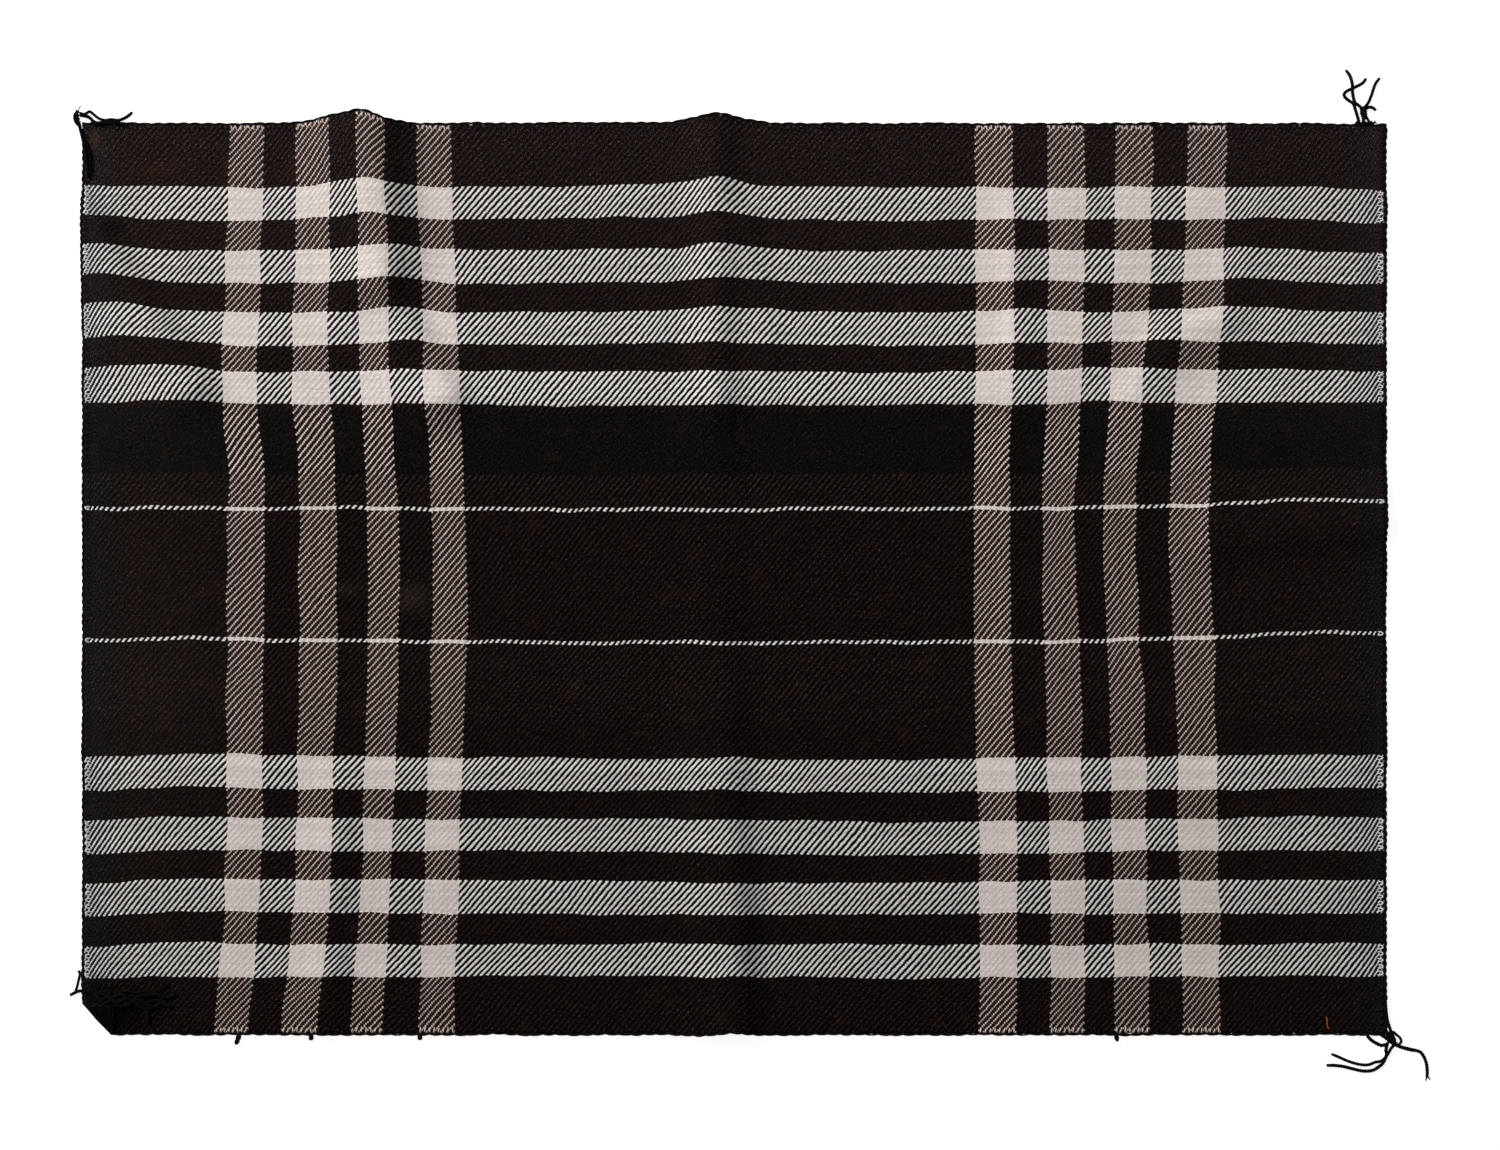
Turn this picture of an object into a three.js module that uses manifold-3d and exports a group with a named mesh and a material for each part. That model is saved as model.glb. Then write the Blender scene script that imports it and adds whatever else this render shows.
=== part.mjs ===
// A handwoven plaid wool blanket, lying face up with a few soft folds.
// Millimetres, +Z up. The origin is on the floor under the middle of the blanket,
// +X runs along the wefts and +Y along the warps, towards the top edge.
import * as THREE from 'three';
import * as BufferGeometryUtils from 'three/addons/utils/BufferGeometryUtils.js';
import Module from 'manifold-3d';

const wasm = await Module();
wasm.setup();

// Driving dimensions of the weave: its counts give the size of the cloth
const warpCount = 836;
const warpPitch = 1.4525;
const weftCount = 500;
const weftPitch = 1.695;
const clothWidth = warpCount * warpPitch;
const clothLength = weftCount * weftPitch;
const clothThickness = 2.8;
const clothMiddle = { x: -14.6, y: -3.8 };

// Selvedge cords, laid along the four edges
const cordDiameter = 2.8;
const cordGap = 0.4;
const cordOffset = cordGap + cordDiameter / 2;
const cordSides = 6;

// Lower left corner, turned over onto the face
const turnedCorner = { upLeftEdge: 30.8, alongBottom: 28.7, layerGap: 0.6 };
const bendRadius = (clothThickness + turnedCorner.layerGap) / 2;
const bendLength = Math.PI * bendRadius;

// Tassel yarn
const strandThickness = 2;
const strandStep = 4.5;
const faceRest = clothThickness + 0.4 + strandThickness / 2;
const floorRest = strandThickness / 2;
const overRest = floorRest + strandThickness + 0.4;

// How the cloth has crept sideways as it was laid: each row moves the cloth round (x, y)
// by (shiftX, shiftY), fading out over reachX and reachY
const drifts = [
  { x: -415, y: -440, reachX: 80, reachY: 70, shiftX: -13.5, shiftY: 0 },
  { x: -290, y: -20, reachX: 95, reachY: 130, shiftX: 9, shiftY: 0 },
  { x: -450, y: 190, reachX: 75, reachY: 48, shiftX: -5.5, shiftY: 0 },
  { x: -480, y: 95, reachX: 50, reachY: 30, shiftX: 2.5, shiftY: 0 },
  { x: -490, y: 410, reachX: 45, reachY: 50, shiftX: 3.5, shiftY: 0 },
  { x: -290, y: 420, reachX: 60, reachY: 110, shiftX: -6.5, shiftY: 0 },
  { x: 415, y: 425, reachX: 55, reachY: 125, shiftX: 10, shiftY: 0 },
  { x: 265, y: 285, reachX: 70, reachY: 115, shiftX: 2.8, shiftY: 0 },
  { x: 378, y: 45, reachX: 72, reachY: 82, shiftX: -9, shiftY: 0 },
  { x: 232, y: -320, reachX: 50, reachY: 130, shiftX: 6.2, shiftY: 0 },
  { x: 400, y: -420, reachX: 70, reachY: 110, shiftX: 4.6, shiftY: 0 },
  { x: -30, y: 380, reachX: 22, reachY: 110, shiftX: 0, shiftY: 8.8 },
  { x: -120, y: 330, reachX: 55, reachY: 80, shiftX: 0, shiftY: 2 },
  { x: -380, y: 430, reachX: 22, reachY: 60, shiftX: 0, shiftY: 7 },
  { x: -356, y: 430, reachX: 13, reachY: 75, shiftX: 0, shiftY: 6 },
  { x: -335, y: 325, reachX: 22, reachY: 65, shiftX: 0, shiftY: 4 },
  { x: -320, y: 232, reachX: 20, reachY: 42, shiftX: 0, shiftY: 4.5 },
  { x: -610, y: 262, reachX: 27, reachY: 58, shiftX: 0, shiftY: 8 },
  { x: -580, y: 228, reachX: 22, reachY: 30, shiftX: 0, shiftY: 4.5 },
  { x: -538, y: 184, reachX: 34, reachY: 28, shiftX: 0, shiftY: 6.5 },
  { x: 540, y: -5, reachX: 95, reachY: 105, shiftX: 0, shiftY: 9 },
  { x: 455, y: 258, reachX: 36, reachY: 42, shiftX: 3, shiftY: 5 },
  { x: 590, y: 350, reachX: 32, reachY: 48, shiftX: 0, shiftY: -3.2 },
  { x: 262, y: 245, reachX: 28, reachY: 45, shiftX: 0, shiftY: 3.5 },
  { x: 326, y: 178, reachX: 24, reachY: 26, shiftX: 0, shiftY: 4.2 },
  { x: 385, y: 210, reachX: 26, reachY: 34, shiftX: 0, shiftY: 3.2 },
  { x: 110, y: -200, reachX: 130, reachY: 110, shiftX: 0, shiftY: -3.2 },
  { x: -505, y: -120, reachX: 70, reachY: 120, shiftX: 0, shiftY: 2.8 },
  { x: -612, y: -300, reachX: 24, reachY: 70, shiftX: 0, shiftY: -3.6 },
  { x: -140, y: 0, reachX: 120, reachY: 100, shiftX: 0, shiftY: -2 },
  { x: 14, y: 262, reachX: 16, reachY: 42, shiftX: 0, shiftY: 2.7 },
  { x: -20, y: -183, reachX: 18, reachY: 40, shiftX: 0, shiftY: 2.8 },
  { x: -14, y: -430, reachX: 12, reachY: 55, shiftX: 0, shiftY: 3 },
  { x: -505, y: -440, reachX: 40, reachY: 50, shiftX: -2.5, shiftY: 0 },
];

// Soft folds that stand up from the floor: a crest from one point to another, its height
// at both ends, and how far its sides reach to the left and right of that direction
const ridges = [
  { fromX: -351, fromY: 440, toX: -343, toY: 290, fromHigh: 19, toHigh: 13, left: 19, right: 38, fade: 20 },
  { fromX: -340, fromY: 268, toX: -284, toY: 172, fromHigh: 8, toHigh: 9, left: 11, right: 34, fade: 16 },
  { fromX: -33, fromY: 440, toX: -30, toY: 175, fromHigh: 8.5, toHigh: 7, left: 13, right: 14, fade: 40 },
  { fromX: -4, fromY: 325, toX: 18, toY: 205, fromHigh: 3.2, toHigh: 2.8, left: 9, right: 16, fade: 14 },
  { fromX: -31, fromY: 40, toX: -12, toY: -440, fromHigh: 3, toHigh: 14.5, left: 14, right: 30, fade: 60 },
  { fromX: -620, fromY: 330, toX: -520, toY: 180, fromHigh: 10, toHigh: 10, left: 12, right: 34, fade: 18 },
  { fromX: 459, fromY: 290, toX: 442, toY: 244, fromHigh: 2.2, toHigh: 3, left: 14, right: 20, fade: 16 },
  { fromX: 440, fromY: 238, toX: 392, toY: 214, fromHigh: 2.6, toHigh: 2.5, left: 14, right: 12, fade: 14 },
  { fromX: 392, fromY: 214, toX: 352, toY: 158, fromHigh: 3.2, toHigh: 2.4, left: 20, right: 12, fade: 14 },
  { fromX: 246, fromY: 318, toX: 248, toY: 218, fromHigh: 3, toHigh: 2.5, left: 12, right: 9, fade: 18 },
  { fromX: -262, fromY: 160, toX: 250, toY: 166, fromHigh: 5, toHigh: 4.5, left: 26, right: 15, fade: 38 },
  { fromX: 436, fromY: 131, toX: 488, toY: 127, fromHigh: 3.5, toHigh: 3.5, left: 16, right: 9, fade: 12 },
  { fromX: 438, fromY: 33, toX: 592, toY: 50, fromHigh: 7.5, toHigh: 7.5, left: 26, right: 15, fade: 14 },
  { fromX: -386, fromY: -250, toX: -396, toY: -440, fromHigh: 4, toHigh: 4.5, left: 11, right: 18, fade: 40 },
];
const floorTrim = 0.25;

const mergeDistance = 1e-4;
const bendSteps = 6;
const flapColumns = 5;
const flapOverlap = 0.4;
const flapTipWidth = 1.2;
const cutterReach = 60;
const cutterHeight = 3 * clothThickness;
const slopeStep = 0.2;
const knotFacets = { round: 8, tall: 6 };

// Stations across and along the cloth, closer together where a fold crosses them
const columnSpans = [
  { to: -485, step: 20 },
  { to: -405, step: 27 },
  { to: -265, step: 11 },
  { to: -70, step: 39 },
  { to: 50, step: 13.5 },
  { to: 230, step: 36 },
  { to: 480, step: 21 },
  { to: clothWidth / 2, step: 32 },
];
const rowSpans = [
  { to: 60, step: 49 },
  { to: 350, step: 19.5 },
  { to: clothLength / 2, step: 25 },
];

// Strands of each tassel, as points on the yarn's centre line (x, y and height)
const tassels = [
  {
    name: 'tassel_upper_left',
    head: { x: -627.2, y: 429.2, radiusX: 2.9, radiusY: 4.6, z: 2.4, radiusZ: 2.4 },
    strands: [
      [[-627, 431, 2], [-626.8, 438.5, floorRest]],
      [[-627, 432, 2], [-621, 433.6, floorRest], [-617.2, 435.2, floorRest], [-608.6, 429, floorRest],
        [-597, 424.9, floorRest], [-586.2, 427, floorRest], [-578, 432.4, floorRest]],
      [[-625.5, 430, 2], [-620.5, 431.4, floorRest], [-616, 428.6, floorRest], [-612.6, 425.2, floorRest]],
      [[-627.4, 432, 2], [-631.4, 431.6, floorRest], [-632, 427.3, floorRest], [-628.6, 424.6, 2]],
    ],
  },
  {
    name: 'tassel_upper_right',
    head: { x: 576, y: 431.4, radiusX: 2.8, radiusY: 5.6, z: 2.6, radiusZ: 2.6 },
    strands: [
      [[575.4, 427.6, 2], [569.2, 425, floorRest], [567, 434.4, floorRest], [564.2, 445.6, floorRest],
        [562.8, 456, floorRest], [561.8, 465.3, floorRest], [556.6, 472, floorRest]],
      [[574.6, 429, 2.4], [572.6, 433.4, floorRest], [569.4, 440.6, 2.2], [563.6, 444.6, overRest],
        [556.3, 448.6, 2.2], [555.6, 452.1, 2.2], [563.4, 456, overRest], [571.3, 461, floorRest],
        [576.2, 465.4, floorRest]],
      [[576.4, 434, 2], [578.8, 444, floorRest], [582.5, 454, floorRest], [584.9, 461, floorRest],
        [588.8, 465.8, floorRest]],
      [[577, 434, 2], [580.8, 437, floorRest], [585.6, 434.6, floorRest]],
    ],
  },
  {
    name: 'tassel_lower_left',
    head: { x: -588.2, y: -396.6, radiusX: 3.1, radiusY: 2.6, z: 5.8, radiusZ: 2.5 },
    strands: [
      [[-588, -395.6, 5], [-597, -391.6, faceRest], [-612, -389.2, faceRest], [-623.5, -388.4, faceRest],
        [-629.4, -389.2, 2.4], [-635.4, -392, floorRest]],
      [[-629.6, -389.2, 2.4], [-629.4, -383.2, 1.4], [-626.9, -371.6, floorRest]],
      [[-587, -396, 5], [-578, -393.6, faceRest], [-560, -391.6, faceRest], [-546, -394.6, faceRest],
        [-536.6, -391.4, faceRest]],
      [[-587, -397, 5], [-572, -399, faceRest], [-555, -398.4, faceRest], [-540.6, -403.4, faceRest]],
      [[-587.6, -398, 5], [-577, -403.6, faceRest], [-566.6, -405.6, faceRest], [-562, -411, faceRest],
        [-560.4, -418.6, faceRest]],
      [[-588.6, -395, 5], [-590, -389.6, faceRest], [-580, -386.6, faceRest], [-567, -386.2, faceRest]],
    ],
  },
  {
    name: 'tassel_lower_right',
    head: { x: 600.2, y: -436.2, radiusX: 3.3, radiusY: 4.6, z: 2.7, radiusZ: 2.7 },
    strands: [
      [[599.6, -438, 2], [594.6, -446.4, floorRest], [588.6, -451.6, floorRest], [576.6, -455.6, floorRest],
        [560.4, -453, floorRest], [543.6, -446, floorRest]],
      [[599.8, -438.6, 2], [597.4, -448.8, floorRest], [591.6, -456.6, floorRest], [578.4, -462.8, floorRest],
        [568, -462.4, floorRest], [552, -458.6, floorRest], [539, -457.8, floorRest]],
      [[601.4, -438.6, 2], [604.6, -442, floorRest], [621.2, -445.8, floorRest], [627.4, -447.4, floorRest],
        [632.2, -455.4, floorRest], [633.6, -464, floorRest], [633, -471.2, floorRest]],
      [[599, -436.6, 2], [592.8, -438.2, floorRest], [585, -436.4, floorRest], [577.4, -433, floorRest]],
      [[601.6, -433.6, 2], [603.6, -429.4, floorRest], [607.8, -431.6, floorRest], [607.6, -436.8, floorRest],
        [603.6, -438.6, 2]],
    ],
  },
];

// Short ends of yarn left below the bottom cord
const yarnEnds = [
  { x: -477, toX: -480.2, length: 8.6 },
  { x: -409.9, toX: -410.2, length: 4.6 },
  { x: -308.6, toX: -308.4, length: 4.4 },
  { x: 342.2, toX: 343.2, length: 5.6 },
];

const selvedgeBlack = new THREE.MeshStandardMaterial({ color: 0x15110e, roughness: 0.95, metalness: 0 });
const woolGround = new THREE.MeshStandardMaterial({ color: 0x2a211d, roughness: 0.95, metalness: 0 });
const tasselNavy = new THREE.MeshStandardMaterial({ color: 0x14131c, roughness: 0.95, metalness: 0 });

// A bell that is 1 at the middle and fades over reach
function bell(distance, reach) {
  return Math.exp(-((distance / reach) ** 2) / 2);
}

function ridgeHeight(x, y) {
  let high = 0;
  for (const ridge of ridges) {
    const runX = ridge.toX - ridge.fromX;
    const runY = ridge.toY - ridge.fromY;
    const run = Math.hypot(runX, runY);
    const along = ((x - ridge.fromX) * runX + (y - ridge.fromY) * runY) / run;
    const across = ((x - ridge.fromX) * runY - (y - ridge.fromY) * runX) / run;
    const share = THREE.MathUtils.clamp(along / run, 0, 1);
    const beyond = Math.max(0, -along, along - run);
    const crest = THREE.MathUtils.lerp(ridge.fromHigh, ridge.toHigh, share);
    high += crest * bell(across, across > 0 ? ridge.right : ridge.left) * bell(beyond, ridge.fade);
  }
  return Math.max(0, high - floorTrim);
}

// Where the line of the turned corner lies on the flat cloth, and which way the corner is
const foldLine = (() => {
  const onLeft = new THREE.Vector2(-clothWidth / 2, -clothLength / 2 + turnedCorner.upLeftEdge);
  const onBottom = new THREE.Vector2(-clothWidth / 2 + turnedCorner.alongBottom, -clothLength / 2);
  const direction = onBottom.clone().sub(onLeft).normalize();
  const outward = new THREE.Vector2(direction.y, -direction.x);
  return { onLeft, onBottom, outward };
})();

function distancePastFold(across, along) {
  const point = new THREE.Vector2(across, along);
  return point.sub(foldLine.onLeft).dot(foldLine.outward);
}

// Lays a point of the flat cloth where it rests, high above the cloth's middle layer
function lay(across, along, high) {
  const restX = across + clothMiddle.x;
  const restY = along + clothMiddle.y;
  let x = restX;
  let y = restY;
  for (const drift of drifts) {
    const share = bell(restX - drift.x, drift.reachX) * bell(restY - drift.y, drift.reachY);
    x += drift.shiftX * share;
    y += drift.shiftY * share;
  }
  return new THREE.Vector3(x, y, clothThickness / 2 + ridgeHeight(x, y) + high);
}

// The same with the corner turned over: past the fold line a point goes round the bend and back
function layTurned(across, along, lift) {
  const past = distancePastFold(across, along);
  let inward = 0;
  let high = lift;
  if (past > bendLength) {
    inward = 2 * past - bendLength;
    high = 2 * bendRadius - lift;
  } else if (past > 0) {
    const angle = past / bendRadius;
    inward = past - (bendRadius - lift) * Math.sin(angle);
    high = bendRadius - (bendRadius - lift) * Math.cos(angle);
  }
  return lay(across - foldLine.outward.x * inward, along - foldLine.outward.y * inward, high);
}

// The direction of the face at a point of the flat cloth
function faceDirection(across, along, layPoint) {
  const alongX = layPoint(across + slopeStep, along, 0).sub(layPoint(across - slopeStep, along, 0));
  const alongY = layPoint(across, along + slopeStep, 0).sub(layPoint(across, along - slopeStep, 0));
  return alongX.cross(alongY).normalize();
}

function stations(from, spans) {
  const values = [from];
  let start = from;
  for (const span of spans) {
    const count = Math.ceil((span.to - start) / span.step);
    for (let i = 1; i <= count; i++) {
      values.push(start + ((span.to - start) * i) / count);
    }
    start = span.to;
  }
  return values;
}

function meshGeometry(positions, faces) {
  const geometry = new THREE.BufferGeometry();
  geometry.setAttribute('position', new THREE.Float32BufferAttribute(positions, 3));
  geometry.setIndex(faces);
  return geometry;
}

// A grid of flat points, rows by columns, made into a sheet of the cloth's thickness
function sheetGeometry(rows, layPoint) {
  const positions = [];
  const faces = [];
  const rowCount = rows.length;
  const columnCount = rows[0].length;
  for (const side of [-1, 1]) {
    for (const [across, along] of rows.flat()) {
      const out = faceDirection(across, along, layPoint).multiplyScalar((side * clothThickness) / 2);
      positions.push(...layPoint(across, along, 0).add(out));
    }
  }
  const at = (side, i, j) => (side * rowCount + i) * columnCount + j;
  const quad = (a, b, c, d) => faces.push(a, b, c, a, c, d);
  const lastRow = rowCount - 1;
  const lastColumn = columnCount - 1;
  for (let i = 0; i < lastRow; i++) {
    for (let j = 0; j < lastColumn; j++) {
      quad(at(0, i, j), at(0, i + 1, j), at(0, i + 1, j + 1), at(0, i, j + 1));
      quad(at(1, i, j), at(1, i, j + 1), at(1, i + 1, j + 1), at(1, i + 1, j));
    }
    quad(at(0, i + 1, 0), at(0, i, 0), at(1, i, 0), at(1, i + 1, 0));
    quad(at(0, i, lastColumn), at(0, i + 1, lastColumn), at(1, i + 1, lastColumn), at(1, i, lastColumn));
  }
  for (let j = 0; j < lastColumn; j++) {
    quad(at(0, 0, j), at(0, 0, j + 1), at(1, 0, j + 1), at(1, 0, j));
    quad(at(0, lastRow, j + 1), at(0, lastRow, j), at(1, lastRow, j), at(1, lastRow, j + 1));
  }
  return meshGeometry(positions, faces);
}

function toSolid(geometry) {
  const bare = geometry.clone();
  bare.deleteAttribute('normal');
  bare.deleteAttribute('uv');
  const merged = BufferGeometryUtils.mergeVertices(bare, mergeDistance);
  const mesh = new wasm.Mesh({
    numProp: 3,
    vertProperties: new Float32Array(merged.attributes.position.array),
    triVerts: new Uint32Array(merged.index.array),
  });
  return new wasm.Manifold(mesh);
}

function fromSolid(solid) {
  const mesh = solid.getMesh();
  return meshGeometry(Array.from(mesh.vertProperties), Array.from(mesh.triVerts));
}

function named(name, geometry, material) {
  const mesh = new THREE.Mesh(geometry, material);
  mesh.name = name;
  return mesh;
}

// The whole sheet before its corner is turned
function openSheet() {
  const columns = stations(-clothWidth / 2, columnSpans);
  const rows = stations(-clothLength / 2, rowSpans);
  return sheetGeometry(rows.map((along) => columns.map((across) => [across, along])), lay);
}

// What is cut from the open sheet past the fold line
function cornerCutter() {
  const { onLeft, onBottom, outward } = foldLine;
  const onFloor = (point) => new THREE.Vector2(lay(point.x, point.y, 0).x, lay(point.x, point.y, 0).y);
  const direction = onFloor(onBottom).sub(onFloor(onLeft)).normalize();
  const start = onFloor(onLeft).addScaledVector(direction, -cutterReach / 2);
  const end = onFloor(onBottom).addScaledVector(direction, cutterReach / 2);
  const shape = new THREE.Shape([
    start,
    start.clone().addScaledVector(outward, cutterReach),
    end.clone().addScaledVector(outward, cutterReach),
    end,
  ]);
  const geometry = new THREE.ExtrudeGeometry(shape, { depth: cutterHeight, bevelEnabled: false });
  return geometry.translate(0, 0, -clothThickness);
}

// The bend and the flap of the turned corner, from just inside the fold line to its blunt tip
function turnedPart() {
  const corner = new THREE.Vector2(-clothWidth / 2, -clothLength / 2);
  const depth = distancePastFold(corner.x, corner.y);
  const flapEnd = depth - flapTipWidth / 2;
  const depths = [-flapOverlap];
  for (let i = 0; i <= bendSteps; i++) {
    depths.push((bendLength * i) / bendSteps);
  }
  depths.push((bendLength + flapEnd) / 2, flapEnd);
  const rows = depths.map((past) => {
    const left = foldLine.onLeft.clone().lerp(corner, past / depth);
    const bottom = foldLine.onBottom.clone().lerp(corner, past / depth);
    const row = [];
    for (let j = 0; j < flapColumns; j++) {
      row.push([...bottom.clone().lerp(left, j / (flapColumns - 1))]);
    }
    return row;
  });
  return sheetGeometry(rows, layTurned);
}

function cloth() {
  const flat = toSolid(openSheet()).subtract(toSolid(cornerCutter()));
  return named('cloth', fromSolid(flat.add(toSolid(turnedPart()))), woolGround);
}

// A round cord through a list of flat points beside an edge, with outward pointing away from it
function edgeCord(points, outward) {
  const positions = [];
  const faces = [];
  const radius = cordDiameter / 2;
  for (const [across, along] of points) {
    const centre = layTurned(across, along, 0);
    const side = layTurned(across + outward.x, along + outward.y, 0).sub(centre).normalize();
    const up = faceDirection(across, along, layTurned);
    for (let k = 0; k < cordSides; k++) {
      const angle = (2 * Math.PI * (k + 0.5)) / cordSides;
      const ringPoint = centre.clone().addScaledVector(side, radius * Math.cos(angle));
      positions.push(...ringPoint.addScaledVector(up, radius * Math.sin(angle)));
    }
  }
  const at = (i, k) => i * cordSides + (k % cordSides);
  for (let i = 0; i + 1 < points.length; i++) {
    for (let k = 0; k < cordSides; k++) {
      faces.push(at(i, k), at(i + 1, k), at(i + 1, k + 1), at(i, k), at(i + 1, k + 1), at(i, k + 1));
    }
  }
  const last = points.length - 1;
  for (let k = 1; k + 1 < cordSides; k++) {
    faces.push(at(0, 0), at(0, k), at(0, k + 1), at(last, 0), at(last, k + 1), at(last, k));
  }
  return meshGeometry(positions, faces);
}

// Stations along a cord that runs from far to its end near the turned corner: the even ones
// as far as the fold line, then close ones round the bend and one at the end
function stationsOverBend(even, end, pastAt) {
  const rate = pastAt(end) - pastAt(end - 1);
  const atPast = (past) => end + (past - pastAt(end)) / rate;
  const values = even.filter((value) => pastAt(value) < -bendLength);
  for (let i = 0; i <= bendSteps; i++) {
    values.push(atPast((bendLength * i) / bendSteps));
  }
  values.push(end);
  return values;
}

const cordReach = cordOffset + cordDiameter / 2;

function endCordPoints(along, over) {
  const edge = clothWidth / 2 + cordReach;
  const even = [edge, ...stations(-clothWidth / 2, columnSpans).reverse(), -edge];
  const values = over ? stationsOverBend(even, -edge, (across) => distancePastFold(across, along)) : even;
  return values.map((across) => [across, along]);
}

function sideCordPoints(across, over) {
  const even = stations(-clothLength / 2, rowSpans).reverse();
  const end = -clothLength / 2;
  const values = over ? stationsOverBend(even, end, (along) => distancePastFold(across, along)) : even;
  return values.map((along) => [across, along]);
}

function topCord() {
  const points = endCordPoints(clothLength / 2 + cordOffset, false);
  return named('end_cord_top', edgeCord(points, { x: 0, y: 1 }), selvedgeBlack);
}

function leftCord() {
  const points = sideCordPoints(-clothWidth / 2 - cordOffset, true);
  return named('side_cord_left', edgeCord(points, { x: -1, y: 0 }), selvedgeBlack);
}

function rightCord() {
  const points = sideCordPoints(clothWidth / 2 + cordOffset, false).reverse();
  return named('side_cord_right', edgeCord(points, { x: 1, y: 0 }), selvedgeBlack);
}

// The bottom cord carries the short ends of yarn that stick out below it
function bottomCord() {
  const along = -clothLength / 2 - cordOffset;
  const points = endCordPoints(along, true).reverse();
  let solid = toSolid(edgeCord(points, { x: 0, y: -1 }));
  for (const end of yarnEnds) {
    const root = lay(end.x - clothMiddle.x, along, 0);
    const foot = root.y - cordDiameter / 2 - end.length;
    solid = solid.add(toSolid(strand([[end.x, root.y, root.z], [end.toX, foot, floorRest]])));
  }
  return named('end_cord_bottom', fromSolid(solid), selvedgeBlack);
}

// One yarn of square section along a list of points
function strand(points) {
  const path = new THREE.CatmullRomCurve3(points.map((point) => new THREE.Vector3(...point)));
  const half = strandThickness / 2;
  const section = new THREE.Shape([
    new THREE.Vector2(-half, -half),
    new THREE.Vector2(half, -half),
    new THREE.Vector2(half, half),
    new THREE.Vector2(-half, half),
  ]);
  const steps = Math.max(1, Math.round(path.getLength() / strandStep));
  return new THREE.ExtrudeGeometry(section, { steps, extrudePath: path, bevelEnabled: false });
}

// A knot with its loose yarns
function tassel(row) {
  const { x, y, z, radiusX, radiusY, radiusZ } = row.head;
  const knot = new THREE.SphereGeometry(1, knotFacets.round, knotFacets.tall);
  let solid = toSolid(knot.scale(radiusX, radiusY, radiusZ).translate(x, y, z));
  for (const points of row.strands) {
    solid = solid.add(toSolid(strand(points)));
  }
  return named(row.name, fromSolid(solid), tasselNavy);
}

const blanket = new THREE.Group();
blanket.add(cloth(), topCord(), bottomCord(), leftCord(), rightCord());
for (const row of tassels) {
  blanket.add(tassel(row));
}

export default blanket;
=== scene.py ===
import math

import bpy
import numpy as np
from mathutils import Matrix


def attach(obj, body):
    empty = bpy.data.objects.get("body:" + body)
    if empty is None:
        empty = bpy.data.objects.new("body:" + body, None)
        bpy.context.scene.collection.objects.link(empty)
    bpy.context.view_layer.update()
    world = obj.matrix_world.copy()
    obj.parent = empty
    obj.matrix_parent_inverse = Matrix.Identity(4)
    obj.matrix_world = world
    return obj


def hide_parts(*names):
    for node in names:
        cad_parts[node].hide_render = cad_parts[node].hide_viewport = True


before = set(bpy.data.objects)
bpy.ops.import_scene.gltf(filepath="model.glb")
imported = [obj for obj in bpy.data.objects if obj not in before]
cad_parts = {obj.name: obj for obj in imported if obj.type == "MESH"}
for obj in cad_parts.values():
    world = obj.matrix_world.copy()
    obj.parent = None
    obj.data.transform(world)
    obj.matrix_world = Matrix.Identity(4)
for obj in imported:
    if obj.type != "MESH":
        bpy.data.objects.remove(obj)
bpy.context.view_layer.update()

mm = 0.001
seed = 7


# camera, lights and floor

view = dict(
    lens=85.0, sensor=36.0,
    pictureWide=1500, pixel=0.935 * mm,  # one pixel of the picture covers this much floor
)

lighting = dict(
    key=dict(place=(-6.9, 5.4, 5.85), size=2.0, watts=1800.0, tint=(1.0, 0.985, 0.965)),
    top=dict(place=(0.2, 0.4, 5.0), size=4.5, watts=72.0, tint=(0.97, 0.985, 1.0)),
)
sky = 0.155
floorTone, floorGlow = 0.22, 0.88  # the paper is lit from below, so hardly any shadow shows on it


def newObject(name, data):
    made = bpy.data.objects.new(name, data)
    bpy.context.scene.collection.objects.link(made)
    return made


def addCamera():
    # straight down, from where the picture's width just covers what the picture shows
    data = bpy.data.cameras.new("camera")
    data.lens, data.sensor_width = view["lens"], view["sensor"]
    camera = newObject("camera", data)
    wide = view["pictureWide"] * view["pixel"]
    camera.location = (0.0, 0.0, wide * view["lens"] / view["sensor"])
    bpy.context.scene.camera = camera


def addLight(name, place, size, watts, tint):
    # a square soft box that looks at the middle of the blanket
    data = bpy.data.lights.new(name, "AREA")
    data.size, data.energy, data.color = size, watts, tint
    lamp = newObject(name, data)
    lamp.location = place
    away = np.array(place) / np.linalg.norm(place)
    lamp.rotation_euler = (math.acos(away[2]), 0.0, math.atan2(away[1], away[0]) + math.pi / 2)


def addFloor():
    half, low = 6.0, -0.4 * mm
    corners = [(-half, -half, low), (half, -half, low), (half, half, low), (-half, half, low)]
    data = bpy.data.meshes.new("floor")
    data.from_pydata(corners, [], [(0, 1, 2, 3)])
    floor = newObject("floor", data)
    material, shader = newMaterial("floorPaper")
    shader.inputs["Base Color"].default_value = (floorTone, floorTone, floorTone, 1.0)
    shader.inputs["Roughness"].default_value = 0.9
    shader.inputs["Emission Color"].default_value = (1.0, 1.0, 1.0, 1.0)
    shader.inputs["Emission Strength"].default_value = floorGlow
    data.materials.append(material)


def addWorld():
    world = bpy.data.worlds.new("studio")
    world.use_nodes = True
    world.node_tree.nodes["Background"].inputs["Color"].default_value = (1.0, 1.0, 1.0, 1.0)
    world.node_tree.nodes["Background"].inputs["Strength"].default_value = sky
    bpy.context.scene.world = world
    bpy.context.scene.view_settings.view_transform = "Standard"


# node trees: every method takes sockets or plain numbers and gives a socket

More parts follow.
